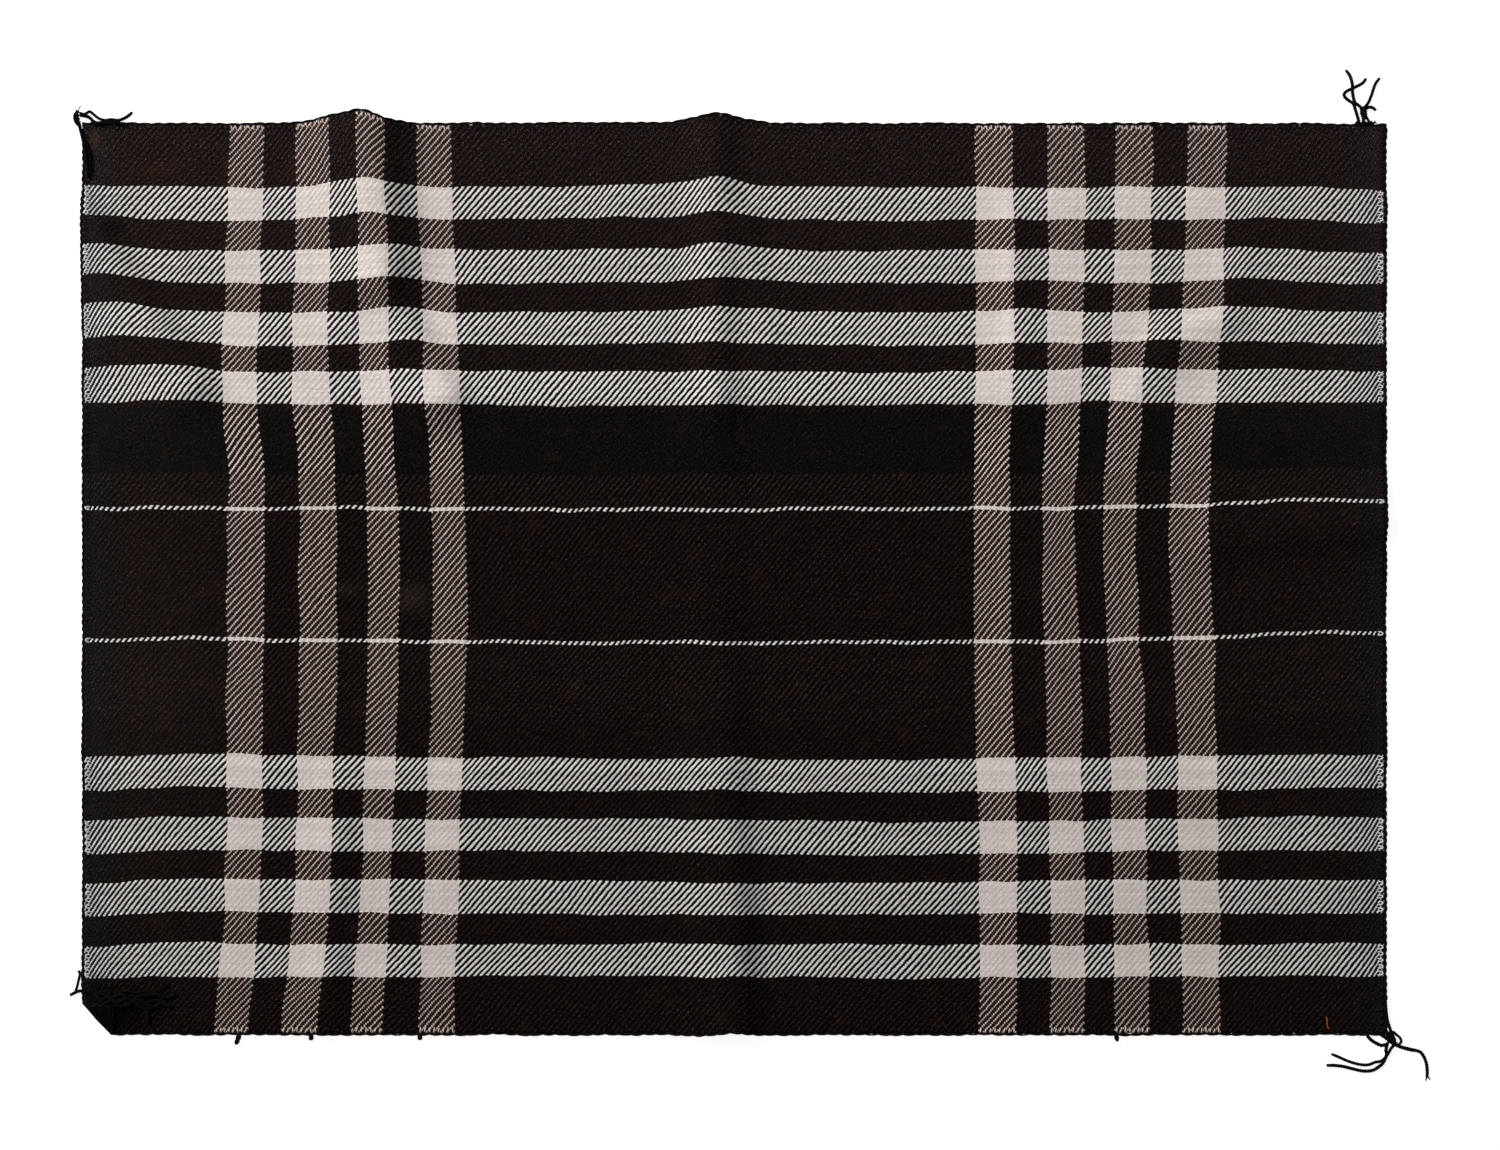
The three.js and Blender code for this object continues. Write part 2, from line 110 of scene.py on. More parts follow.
class Wires:
    def __init__(self, material):
        self.tree = material.node_tree
        self.made = 0

    def node(self, kind, **settings):
        made = self.tree.nodes.new(kind)
        self.made += 1
        made.location = (-220 * (self.made % 12) - 400, -170 * (self.made // 12))
        for name, value in settings.items():
            setattr(made, name, value)
        return made

    def plug(self, value, socket):
        if isinstance(value, bpy.types.NodeSocket):
            self.tree.links.new(value, socket)
        else:
            socket.default_value = value

    def plugAll(self, values, sockets):
        for value, socket in zip(values, sockets):
            self.plug(value, socket)

    def math(self, operation, first, second=0.0, third=0.0):
        made = self.node("ShaderNodeMath", operation=operation)
        self.plugAll((first, second, third), made.inputs)
        return made.outputs[0]

    def plus(self, first, second):
        return self.math("ADD", first, second)

    def minus(self, first, second):
        return self.math("SUBTRACT", first, second)

    def times(self, first, second):
        return self.math("MULTIPLY", first, second)

    def timesPlus(self, first, second, third):
        return self.math("MULTIPLY_ADD", first, second, third)

    def mix(self, share, first, second, blend="MIX"):
        made = self.node("ShaderNodeMix", data_type="RGBA", blend_type=blend)
        self.plugAll((share, first, second), (made.inputs[0], made.inputs[6], made.inputs[7]))
        return made.outputs[2]

    def vector(self, x, y, z=0.0):
        made = self.node("ShaderNodeCombineXYZ")
        self.plugAll((x, y, z), made.inputs)
        return made.outputs[0]

    def dimmed(self, colour, level):
        return self.mix(1.0, colour, self.vector(level, level, level), "MULTIPLY")

    def scaled(self, x, y, acrossScale, alongScale):
        return self.vector(self.times(x, acrossScale), self.times(y, alongScale))

    def parts(self, vector):
        made = self.node("ShaderNodeSeparateXYZ")
        self.plug(vector, made.inputs[0])
        return made.outputs

    def noise(self, place, scale, detail=2.0, roughness=0.5):
        made = self.node("ShaderNodeTexNoise")
        self.plug(place, made.inputs["Vector"])
        made.inputs["Scale"].default_value = scale
        made.inputs["Detail"].default_value = detail
        made.inputs["Roughness"].default_value = roughness
        return made.outputs["Fac"]

    def dice(self, place):
        # one even random number for each whole place
        made = self.node("ShaderNodeTexWhiteNoise", noise_dimensions="2D")
        self.plug(place, made.inputs["Vector"])
        return made.outputs["Value"]

    def stretch(self, value, low, high, toLow=0.0, toHigh=1.0):
        made = self.node("ShaderNodeMapRange", clamp=True)
        self.plugAll((value, low, high, toLow, toHigh), made.inputs)
        return made.outputs[0]

    def brightness(self, colour):
        made = self.node("ShaderNodeRGBToBW")
        self.plug(colour, made.inputs[0])
        return made.outputs[0]

    def ramp(self, place, stops):
        # stops that hold their colour up to the next one
        made = self.node("ShaderNodeValToRGB")
        made.color_ramp.interpolation = "CONSTANT"
        elements = made.color_ramp.elements
        while len(elements) < len(stops):
            elements.new(1.0)
        for element, (position, colour) in zip(elements, stops):
            element.position = position
            element.color = (*colour, 1.0)
        self.plug(place, made.inputs[0])
        return made.outputs[0]

    def stripes(self, place, stops, parts=4, rampSteps=255):
        # a ramp has only so many steps, so each part of the way gets its own, half a step early
        colour = None
        for part in range(parts):
            low, high = part / parts, (part + 1) / parts
            before = [stop for stop in stops if stop[0] <= low][-1]
            within = [((at - low) * parts - 0.5 / rampSteps, held)
                      for at, held in stops if low < at < high]
            here = self.ramp(self.stretch(place, low, high), [(0.0, before[1])] + within)
            colour = here if part == 0 else self.mix(self.math("GREATER_THAN", place, low), colour, here)
        return colour

    def bump(self, high, strength, distance, shader):
        made = self.node("ShaderNodeBump")
        self.plug(high, made.inputs["Height"])
        made.inputs["Strength"].default_value = strength
        made.inputs["Distance"].default_value = distance
        self.plug(made.outputs[0], shader.inputs["Normal"])


def newMaterial(name):
    material = bpy.data.materials.new(name)
    material.use_nodes = True
    return material, material.node_tree.nodes["Principled BSDF"]


def woolShader(shader, specular):
    # matt wool has hardly any gloss
    shader.inputs["Roughness"].default_value = 0.94
    shader.inputs["Specular IOR Level"].default_value = specular


# meshes

def makeMesh(name, points, faces, uv, material, uvName):
    # points (n, 3); faces, a list of arrays of squares or triangles; uv (n, 2), one for each point
    data = bpy.data.meshes.new(name)
    corners = np.concatenate([part.ravel() for part in faces]).astype(np.int32)
    sides = np.concatenate([np.full(len(part), part.shape[1]) for part in faces]).astype(np.int32)
    data.vertices.add(len(points))
    data.vertices.foreach_set("co", np.ascontiguousarray(points, dtype=np.float32).ravel())
    data.loops.add(len(corners))
    data.loops.foreach_set("vertex_index", corners)
    data.polygons.add(len(sides))
    data.polygons.foreach_set("loop_start", np.cumsum(sides, dtype=np.int32) - sides)
    data.polygons.foreach_set("loop_total", sides)
    data.polygons.foreach_set("use_smooth", np.ones(len(sides), dtype=bool))
    addMap(data, uvName, uv, corners)
    data.update(calc_edges=True)
    data.validate()
    data.materials.append(material)
    return newObject(name, data)


def addMap(data, name, uv, corners):
    layer = data.uv_layers.new(name=name)
    layer.data.foreach_set("uv", np.ascontiguousarray(uv[corners], dtype=np.float32).ravel())


def addValue(piece, name, values):
    # one number for each point, which the piece's material reads by name
    held = piece.data.attributes.new(name, "FLOAT", "POINT")
    held.data.foreach_set("value", np.ascontiguousarray(values, dtype=np.float32))


def gridFaces(rows, columns, first=0, flip=False):
    # corners of each square of a grid whose points are numbered row by row
    i, j = np.meshgrid(np.arange(rows - 1), np.arange(columns - 1), indexing="ij")
    a = (first + i * columns + j).ravel()
    square = np.stack([a, a + 1, a + columns + 1, a + columns], axis=1)
    return square[:, ::-1] if flip else square


def unit(vectors):
    return vectors / np.maximum(np.linalg.norm(vectors, axis=-1, keepdims=True), 1e-12)


def tubes(routes, radii, sides, up=(0.0, 0.0, 1.0)):
    # routes (count, steps, 3), radii (count, steps). A point of a tube is its route's point plus
    # the radius times (cos turn * side + sin turn * up), and a point at each end closes it.
    # The map has millimetres along the yarn and turns round it.
    count, steps = radii.shape
    along = unit(np.gradient(routes, axis=1))
    side = unit(np.cross(along, np.broadcast_to(up, routes.shape)))
    rise = np.cross(side, along)
    turn = np.arange(sides) * 2 * math.pi / sides
    ring = (np.cos(turn)[:, None] * side[:, :, None] + np.sin(turn)[:, None] * rise[:, :, None])
    walls = routes[:, :, None] + radii[:, :, None, None] * ring
    tips = routes[:, [0, -1]] + along[:, [0, -1]] * radii[:, [0, -1], None] * np.array([-0.6, 0.6])[:, None]
    points = np.concatenate([walls.reshape(count, -1, 3), tips], axis=1)
    each = points.shape[1]
    step, spoke = np.meshgrid(np.arange(steps - 1), np.arange(sides), indexing="ij")
    a, b = step * sides + spoke, step * sides + (spoke + 1) % sides
    squares = np.stack([a, a + sides, b + sides, b], axis=-1).reshape(-1, 4)
    spokes = np.arange(sides)
    start = np.stack([spokes, (spokes + 1) % sides, np.full(sides, each - 2)], axis=1)
    last = start[:, :2] + (steps - 1) * sides
    end = np.stack([last[:, 1], last[:, 0], np.full(sides, each - 1)], axis=1)
    shift = (np.arange(count) * each)[:, None, None]
    run = np.linalg.norm(np.diff(routes, axis=1, prepend=routes[:, :1]), axis=2).cumsum(axis=1) / mm
    wallMap = np.stack(np.broadcast_arrays(run[:, :, None], turn / (2 * math.pi)), axis=-1)
    tipMap = np.stack([run[:, [0, -1]], np.zeros((count, 2))], axis=-1)
    uv = np.concatenate([wallMap.reshape(count, -1, 2), tipMap], axis=1)
    faces = [(squares + shift).reshape(-1, 4), (np.concatenate([start, end]) + shift).reshape(-1, 3)]
    return points.reshape(-1, 3), faces, uv.reshape(-1, 2)


def joined(parts):
    # several (points, faces, uv) made one
    points, squares, triangles, uv, first = [], [], [], [], 0
    for partPoints, (partSquares, partTriangles), partUv in parts:
        points.append(partPoints)
        squares.append(partSquares + first)
        triangles.append(partTriangles + first)
        uv.append(partUv)
        first += len(partPoints)
    return np.concatenate(points), [np.concatenate(squares), np.concatenate(triangles)], np.concatenate(uv)


def plied(route, plies, radius, spread, pitch, up=(0.0, 0.0, 1.0), taper=0.0, phase=0.0):
    # a twisted yarn: each ply's middle line turns round the route once every pitch, spread away from it
    up = np.broadcast_to(up, route.shape)
    along = unit(np.gradient(route, axis=0))
    side = unit(np.cross(along, up))
    rise = np.cross(side, along)
    run = np.linalg.norm(np.diff(route, axis=0, prepend=route[:1]), axis=1).cumsum()
    turn = 2 * math.pi * (run / pitch + np.arange(plies)[:, None] / plies) + phase
    narrow = 1 - taper * np.clip(1 - (run[-1] - run) / (4 * radius), 0, 1)
    offset = np.cos(turn)[..., None] * side + np.sin(turn)[..., None] * rise
    routes = route + spread * narrow[:, None] * offset
    return routes, np.broadcast_to(radius * narrow, turn.shape)


def smoothRoute(stops, step):
    # a curve through the stops: on each stretch the cubic whose slopes at its ends are half the
    # way from the stop before to the stop after
    stops = np.asarray(stops, dtype=float) * mm
    before = np.concatenate([[2 * stops[0] - stops[1]], stops[:-1]])
    after = np.concatenate([stops[1:], [2 * stops[-1] - stops[-2]]])
    slope = (after - before) / 2
    pieces = np.ceil(np.linalg.norm(np.diff(stops, axis=0), axis=1) / step).astype(int)
    which = np.repeat(np.arange(len(pieces)), pieces)
    t = (np.arange(len(which)) - np.repeat(np.cumsum(pieces) - pieces, pieces)) / pieces[which]
    t = t[:, None]
    start, end = stops[which], stops[which + 1]
    curve = (start * (1 + 2 * t) * (1 - t) ** 2 + slope[which] * t * (1 - t) ** 2
             + end * t ** 2 * (3 - 2 * t) + slope[which + 1] * t ** 2 * (t - 1))
    return np.concatenate([curve, stops[-1:]])


# the weave: yarns in their order, warps from the left and wefts from the bottom

weave = dict(
    warpPitch=1.4525 * mm, weftPitch=1.695 * mm,
    warps=[("black", 91), ("cream", 23), ("black", 22), ("cream", 23), ("black", 19), ("cream", 19),
           ("black", 21), ("cream", 22), ("black", 332), ("pale", 24), ("black", 22), ("cream", 23),
           ("black", 19), ("cream", 22), ("black", 21), ("cream", 25), ("black", 108)],
    wefts=[("brown", 31), ("white", 18), ("brown", 17), ("white", 18), ("brown", 16), ("white", 18),
           ("brown", 16), ("white", 18), ("brown", 22), ("russet", 41), ("white", 2), ("brown", 71),
           ("white", 2), ("russet", 18), ("soot", 34), ("brown", 4), ("white", 18), ("brown", 15),
           ("white", 18), ("brown", 16), ("white", 18), ("brown", 17), ("white", 18), ("brown", 34)],
    colours=dict(black=(0.0041, 0.0037, 0.0032), cream=(0.50, 0.41, 0.38), pale=(0.58, 0.475, 0.44),
                 brown=(0.0089, 0.0060, 0.0047), russet=(0.0112, 0.0077, 0.0060),
                 soot=(0.0039, 0.0037, 0.0032), white=(0.500, 0.482, 0.460)),
    warpBias=-0.66,  # wefts are thicker than warps and stand above them
    sunk=dict(soot=0.25),  # but for these, which lie deeper
    softness=0.85,  # how far one yarn's fuzz hides the next one's edge
    edgeCrowd=6.0, edgeReach=13.0 * mm,  # extra warps packed into each side edge, and how far in
    edgeRise=0.9,  # how much higher those warps stand
    lowEndShade=0.84,  # painted shade: how much light the lower end keeps, as the light falls off towards it
    dustAndSheen=(0.0067, 0.0046, 0.0043),  # dust, and painted sheen where the light grazes the dark fuzz, most at the top edge
    rust=(0.0050, 0.0017, 0.0013),  # patches of redder wool
    coolSide=(0.86, 1.05, 1.28, 1.0),  # the dark yarn beside the side edges is greyer
    creamBounce=(0.012, 0.005, 0.004),  # painted bounce light that light cream warps lend to the brown between them
)
warpCount = sum(count for _, count in weave["warps"])
weftCount = sum(count for _, count in weave["wefts"])
clothWide = warpCount * weave["warpPitch"]
clothLong = weftCount * weave["weftPitch"]

# rubbed or dirty spots: x, y on the flat cloth, reach x, reach y in millimetres, and their tint
spots = [
    (-368, -10, 9, 4, (0.006, 0.0045, 0.0038)),
    (-310, -16, 10, 9, (0.009, 0.0068, 0.0056)),
    (-601, 412, 4, 6, (0.014, 0.007, 0.004)),
    (-541, 384, 14, 6, (0.0075, 0.0004, 0.0006)),
    (-476, 378, 4, 10, (0.0060, 0.0004, 0.0005)),
    (-413, 379, 5, 9, (0.0060, 0.0005, 0.0005)),
    (-560, -95, 62, 165, (0.0036, 0.0026, 0.0023)),
    (-560, 290, 90, 150, (0.0013, 0.0009, 0.0008)),
    (580, 30, 90, 260, (0.0014, 0.0010, 0.0009)),
]

# and places that are darker: x, y, reach x, reach y, and how much of the light they take
shades = [
    (-582, -402, 36, 19, 0.85),
    (-600, -416, 24, 16, 0.60),
    (-580, 324, 10, 6, 0.45),
]


# the folds, as in the solid, all in millimetres

drifts = np.array([  # x, y, reach x, reach y, shift x, shift y
    (-415, -440, 80, 70, -13.5, 0), (-290, -20, 95, 130, 9, 0), (-450, 190, 75, 48, -5.5, 0),
    (-480, 95, 50, 30, 2.5, 0), (-490, 410, 45, 50, 3.5, 0), (-290, 420, 60, 110, -6.5, 0),
    (415, 425, 55, 125, 10, 0), (265, 285, 70, 115, 2.8, 0), (378, 45, 72, 82, -9, 0),
    (232, -320, 50, 130, 6.2, 0), (400, -420, 70, 110, 4.6, 0), (-30, 380, 22, 110, 0, 8.8),
    (-120, 330, 55, 80, 0, 2), (-380, 430, 22, 60, 0, 7), (-356, 430, 13, 75, 0, 6),
    (-335, 325, 22, 65, 0, 4), (-320, 232, 20, 42, 0, 4.5), (-610, 262, 27, 58, 0, 8),
    (-580, 228, 22, 30, 0, 4.5),
    (-538, 184, 34, 28, 0, 6.5), (540, -5, 95, 105, 0, 9), (455, 258, 36, 42, 3, 5),
    (590, 350, 32, 48, 0, -3.2), (262, 245, 28, 45, 0, 3.5), (326, 178, 24, 26, 0, 4.2),
    (385, 210, 26, 34, 0, 3.2), (110, -200, 130, 110, 0, -3.2), (-505, -120, 70, 120, 0, 2.8),
    (-612, -300, 24, 70, 0, -3.6), (-140, 0, 120, 100, 0, -2), (14, 262, 16, 42, 0, 2.7),
    (-20, -183, 18, 40, 0, 2.8), (-14, -430, 12, 55, 0, 3), (-505, -440, 40, 50, -2.5, 0),
]) * mm

ridges = np.array([  # from x, y to x, y, height at both ends, reach left and right, fade past the ends
    (-351, 440, -343, 290, 19, 13, 19, 38, 20), (-340, 268, -284, 172, 8, 9, 11, 34, 16),
    (-33, 440, -30, 175, 8.5, 7, 13, 14, 40), (-4, 325, 18, 205, 3.2, 2.8, 9, 16, 14),
    (-31, 40, -12, -440, 3, 14.5, 14, 30, 60), (-620, 330, -520, 180, 10, 10, 12, 34, 18),
    (459, 290, 442, 244, 2.2, 3, 14, 20, 16), (440, 238, 392, 214, 2.6, 2.5, 14, 12, 14),
    (392, 214, 352, 158, 3.2, 2.4, 20, 12, 14), (246, 318, 248, 218, 3, 2.5, 12, 9, 18),
    (-262, 160, 250, 166, 5, 4.5, 26, 15, 38), (436, 131, 488, 127, 3.5, 3.5, 16, 9, 12),
    (438, 33, 592, 50, 7.5, 7.5, 26, 15, 14), (-386, -250, -396, -440, 4, 4.5, 11, 18, 40),
]) * mm

cloth = dict(
    thick=2.8 * mm, middle=(-14.6 * mm, -3.8 * mm), floorTrim=0.25 * mm,
    upLeftEdge=30.8 * mm, alongBottom=28.7 * mm, layerGap=0.6 * mm,  # the turned corner
    columns=228, rows=156, cornerCell=1.8 * mm,  # how finely the sheet is drawn
    waver=2.4 * mm, waverLong=(35 * mm, 150 * mm),  # small unevenness of the yarns' lines
    ripple=1.1 * mm, rippleLong=(30 * mm, 110 * mm),  # and of the surface
    evenEdge=25 * mm,  # both fade out this close to the edges
    rimSwell=0.6 * mm,
)
bendRadius = (cloth["thick"] + cloth["layerGap"]) / 2
bendLong = math.pi * bendRadius
foldStart = np.array([-clothWide / 2, -clothLong / 2 + cloth["upLeftEdge"]])
foldEnd = np.array([-clothWide / 2 + cloth["alongBottom"], -clothLong / 2])
foldAlong = unit(foldEnd - foldStart)
foldOut = np.array([foldAlong[1], -foldAlong[0]])


def bell(distance, reach):
    # 1 in the middle, fading as exp of minus half the square of distance over reach
    return np.exp(-((distance / reach) ** 2) / 2)


def waves(x, y, long, count, start):
    # the mean of some sine waves of random direction, length and phase, mostly within 0.5 of 0
    dice = np.random.default_rng(seed + start)
    total = np.zeros_like(x)
    for _ in range(count):
        turn, phase = dice.uniform(0, 2 * math.pi, 2)
        length = dice.uniform(*long)
        total += np.sin((x * math.cos(turn) + y * math.sin(turn)) * 2 * math.pi / length + phase)
    return total / count


def ridgeHeight(x, y):
    # each ridge is its crest's height times a bell across it, and times a bell past its ends
    high = np.zeros_like(x)
    for fromX, fromY, toX, toY, fromHigh, toHigh, left, right, fade in ridges:
        run = math.hypot(toX - fromX, toY - fromY)
        alongX, alongY = (toX - fromX) / run, (toY - fromY) / run
        along = (x - fromX) * alongX + (y - fromY) * alongY
        across = (x - fromX) * alongY - (y - fromY) * alongX
        crest = fromHigh + (toHigh - fromHigh) * np.clip(along / run, 0, 1)
        beyond = np.maximum(0, np.maximum(-along, along - run))
        high += crest * bell(across, np.where(across > 0, right, left)) * bell(beyond, fade)
    return np.maximum(0, high - cloth["floorTrim"])


def evenShare(across, along):
    # 0 at the edges, 1 from a little way in
    near = np.minimum(clothWide / 2 - np.abs(across), clothLong / 2 - np.abs(along))
    return np.clip(near / cloth["evenEdge"], 0, 1)


def layCloth(across, along, lift):
    # flat place on the cloth to its place in the frame: round the turned corner's bend past the
    # fold line, then crept sideways by the drifts, then up over the ridges
    past = (across - foldStart[0]) * foldOut[0] + (along - foldStart[1]) * foldOut[1]
    angle = np.clip(past / bendRadius, 0, math.pi)
    inward = np.maximum(0, past) - (bendRadius - lift) * np.sin(angle) + np.maximum(0, past - bendLong)
    high = bendRadius - (bendRadius - lift) * np.cos(angle)
    restX = across - foldOut[0] * inward + cloth["middle"][0]
    restY = along - foldOut[1] * inward + cloth["middle"][1]
    x, y = restX.copy(), restY.copy()
    for midX, midY, reachX, reachY, shiftX, shiftY in drifts:
        share = bell(restX - midX, reachX) * bell(restY - midY, reachY)
        x += shiftX * share
        y += shiftY * share
    inside = evenShare(across, along)
    x += cloth["waver"] * waves(restX, restY, cloth["waverLong"], 8, 1) * inside
    y += cloth["waver"] * waves(restX, restY, cloth["waverLong"], 8, 2) * inside
    ripple = cloth["ripple"] * np.maximum(0, waves(restX, restY, cloth["rippleLong"], 8, 3) + 0.3) * inside
    return np.stack([x, y, cloth["thick"] / 2 + ridgeHeight(x, y) + ripple + high], axis=-1)


def faceDirection(across, along):
    # the normal: the cross product of the ways that a small step across and one along lead
    step = 0.2 * mm
    alongX = layCloth(across + step, along, 0) - layCloth(across - step, along, 0)
    alongY = layCloth(across, along + step, 0) - layCloth(across, along - step, 0)
    return unit(np.cross(alongX, alongY))


def threadPlace(across, along):
    # which warp and weft a flat place falls on, from 0 to 1 of all of them, the side edges crowded
    fromEdge = clothWide / 2 - across, clothWide / 2 + across
    crowd = np.exp(-fromEdge[0] / weave["edgeReach"]) - np.exp(-fromEdge[1] / weave["edgeReach"])
    warp = across / weave["warpPitch"] + weave["edgeCrowd"] * crowd
    return np.stack([warp / warpCount + 0.5, along / clothLong + 0.5], axis=-1)


def stationsFrom(size, count, cornerSize):
    # even stations, closer in the first stretch, where the corner is turned
    close = np.arange(0, cornerSize + 4 * mm, cloth["cornerCell"])
    return np.concatenate([close, np.linspace(close[-1], size, count)[1:]]) - size / 2


def rimOf(rows, columns):
    # points round the edge of a grid, counter-clockwise from the lower left
    number = np.arange(rows * columns).reshape(rows, columns)
    return np.concatenate([number[0, :-1], number[:-1, -1], number[-1, :0:-1], number[:0:-1, 0]])


def band(lower, upper):
    # squares between two closed rows of points
    return np.stack([lower, np.roll(lower, -1), np.roll(upper, -1), upper], axis=1)


def clothSheet(material):
    # the face and the back are the laid grid moved half the thickness along its normal, joined by
    # a rounded rim
    columns = stationsFrom(clothWide, cloth["columns"], cloth["alongBottom"])
    rows = stationsFrom(clothLong, cloth["rows"], cloth["upLeftEdge"])
    along, across = np.meshgrid(rows, columns, indexing="ij")
    middle, out = layCloth(across, along, 0), faceDirection(across, along)
    half, count, wide = cloth["thick"] / 2, across.size, len(columns)
    rim = rimOf(len(rows), wide)
    outX = (rim % wide == wide - 1).astype(float) - (rim % wide == 0)
    outY = (rim >= count - wide).astype(float) - (rim < wide)
    swollen = across.ravel()[rim] + outX * cloth["rimSwell"], along.ravel()[rim] + outY * cloth["rimSwell"]
    points = np.concatenate([(middle + out * half).reshape(-1, 3), (middle - out * half).reshape(-1, 3),
                             layCloth(*swollen, 0)])
    edge = np.arange(len(rim)) + 2 * count
    faces = [gridFaces(len(rows), wide), gridFaces(len(rows), wide, first=count, flip=True),
             band(edge, rim), band(rim + count, edge)]
    uv = threadPlace(across, along).reshape(-1, 2)
    piece = makeMesh("blanketCloth", points, faces, np.concatenate([uv, uv, uv[rim]]), material, "weave")
    addValue(piece, "underside", np.repeat([0.0, 1.0, 0.5], [count, count, len(rim)]))
    flat = np.stack([across / clothWide + 0.5, along / clothLong + 0.5], axis=-1).reshape(-1, 2)
    corners = np.concatenate([part.ravel() for part in faces])
    addMap(piece.data, "OFBake", bakePlaces(flat, rim, outX, outY), corners)
    return piece


def bakePlaces(flat, rim, outX, outY):
    # the face gets most of the picture, the back a strip above it, and the rim lies round the face
    low, faceHigh, backLow, backHigh = 0.01, 0.80, 0.84, 0.98
    wide, slim = 0.98, 0.006
    face = np.stack([low + flat[:, 0] * wide, low + flat[:, 1] * faceHigh], axis=1)
    back = np.stack([low + flat[:, 0] * wide, backLow + flat[:, 1] * (backHigh - backLow)], axis=1)
    edge = face[rim] + slim * np.stack([outX, outY], axis=1)
    return np.concatenate([face, back, edge])


# the twill

twill = dict(
    wander=0.9, wanderGrain=(0.35, 0.30),  # handspun yarn strays over this much of its width
    roundPart=0.55,  # what a yarn's round profile adds to its height
    ownTone=(0.24, 0.70), slubTone=0.36,  # how much yarns differ, and each along its length
    hollowTop=(0.15, 1.25),  # the heights that count as a hollow and as a top
    darkKept=(0.05, 1.42), mixedKept=(0.45, 1.15), lightKept=(0.81, 1.06),  # painted shade and highlight: the light kept at both, for dark, mixed and light yarn
    thinThickGlint=(11.0, -5.80), lightSpeckle=(-0.16, 0.14),  # uneven spinning of dark and light yarn, with painted glints where the dark yarn's fuzz catches the light
    lightFrom=(0.02, 0.3),  # a colour's brightness where it begins to count as light, and does
    dustSheenFrom=0.62, lowShadeTo=0.68,  # up the cloth, from 0 to 1: where the dust and painted sheen begin, and where the painted shade of the lower end ends
    coolFrom=(0.018, 0.030),  # in from the sides, of the cloth's width
    rustFrom=(0.56, 0.78),  # of the noise that the redder patches come from
    leastKept=0.15,  # light left in the darkest place
    bump=0.5, bumpHigh=0.45 * mm,
)


def roundness(w, yarn):
    # 0 at a yarn's sides, 1 on its middle line
    side = w.timesPlus(w.math("FRACT", yarn), 2.0, -1.0)
    return w.math("SQRT", w.minus(1.0, w.times(side, w.times(side, 0.98))))  # never below 0


def overUnder(w, steps):
    # up for two yarns and down for two
    return w.math("SINE", w.times(steps, math.pi / 2))


def tone(w, yarn, along, start):
    # each yarn has its own tone, and grows lighter and darker along its length
    own = w.dice(w.vector(yarn, start))
    slub = w.noise(w.vector(w.times(yarn, 5.3), w.times(along, 0.11), start), 1.0, 2.0, 0.6)
    return w.plus(w.timesPlus(own, *twill["ownTone"]), w.times(slub, twill["slubTone"]))


def stopsOf(order, total, values):
    # where each stretch of yarns begins, from 0 to 1, and its value
    stops, at = [], 0
    for colour, count in order:
        stops.append((at / total, values.get(colour, (0.0, 0.0, 0.0))))
        at += count
    return stops


def yarnColour(w, number, along, order, total, start):
    place = w.math("DIVIDE", w.plus(number, 0.5), float(total))
    dyed = w.stripes(place, stopsOf(order, total, weave["colours"]))
    return w.dimmed(dyed, tone(w, number, along, start))


def tinted(w, colour, amount, tint):
    # adds the tint, as dust or rubbing does, and as the painted sheen and painted bounce light do, so it
    # shows on dark yarn only
    channels = [w.times(amount, part) for part in tint]
    return w.mix(1.0, colour, w.vector(*channels), "ADD")


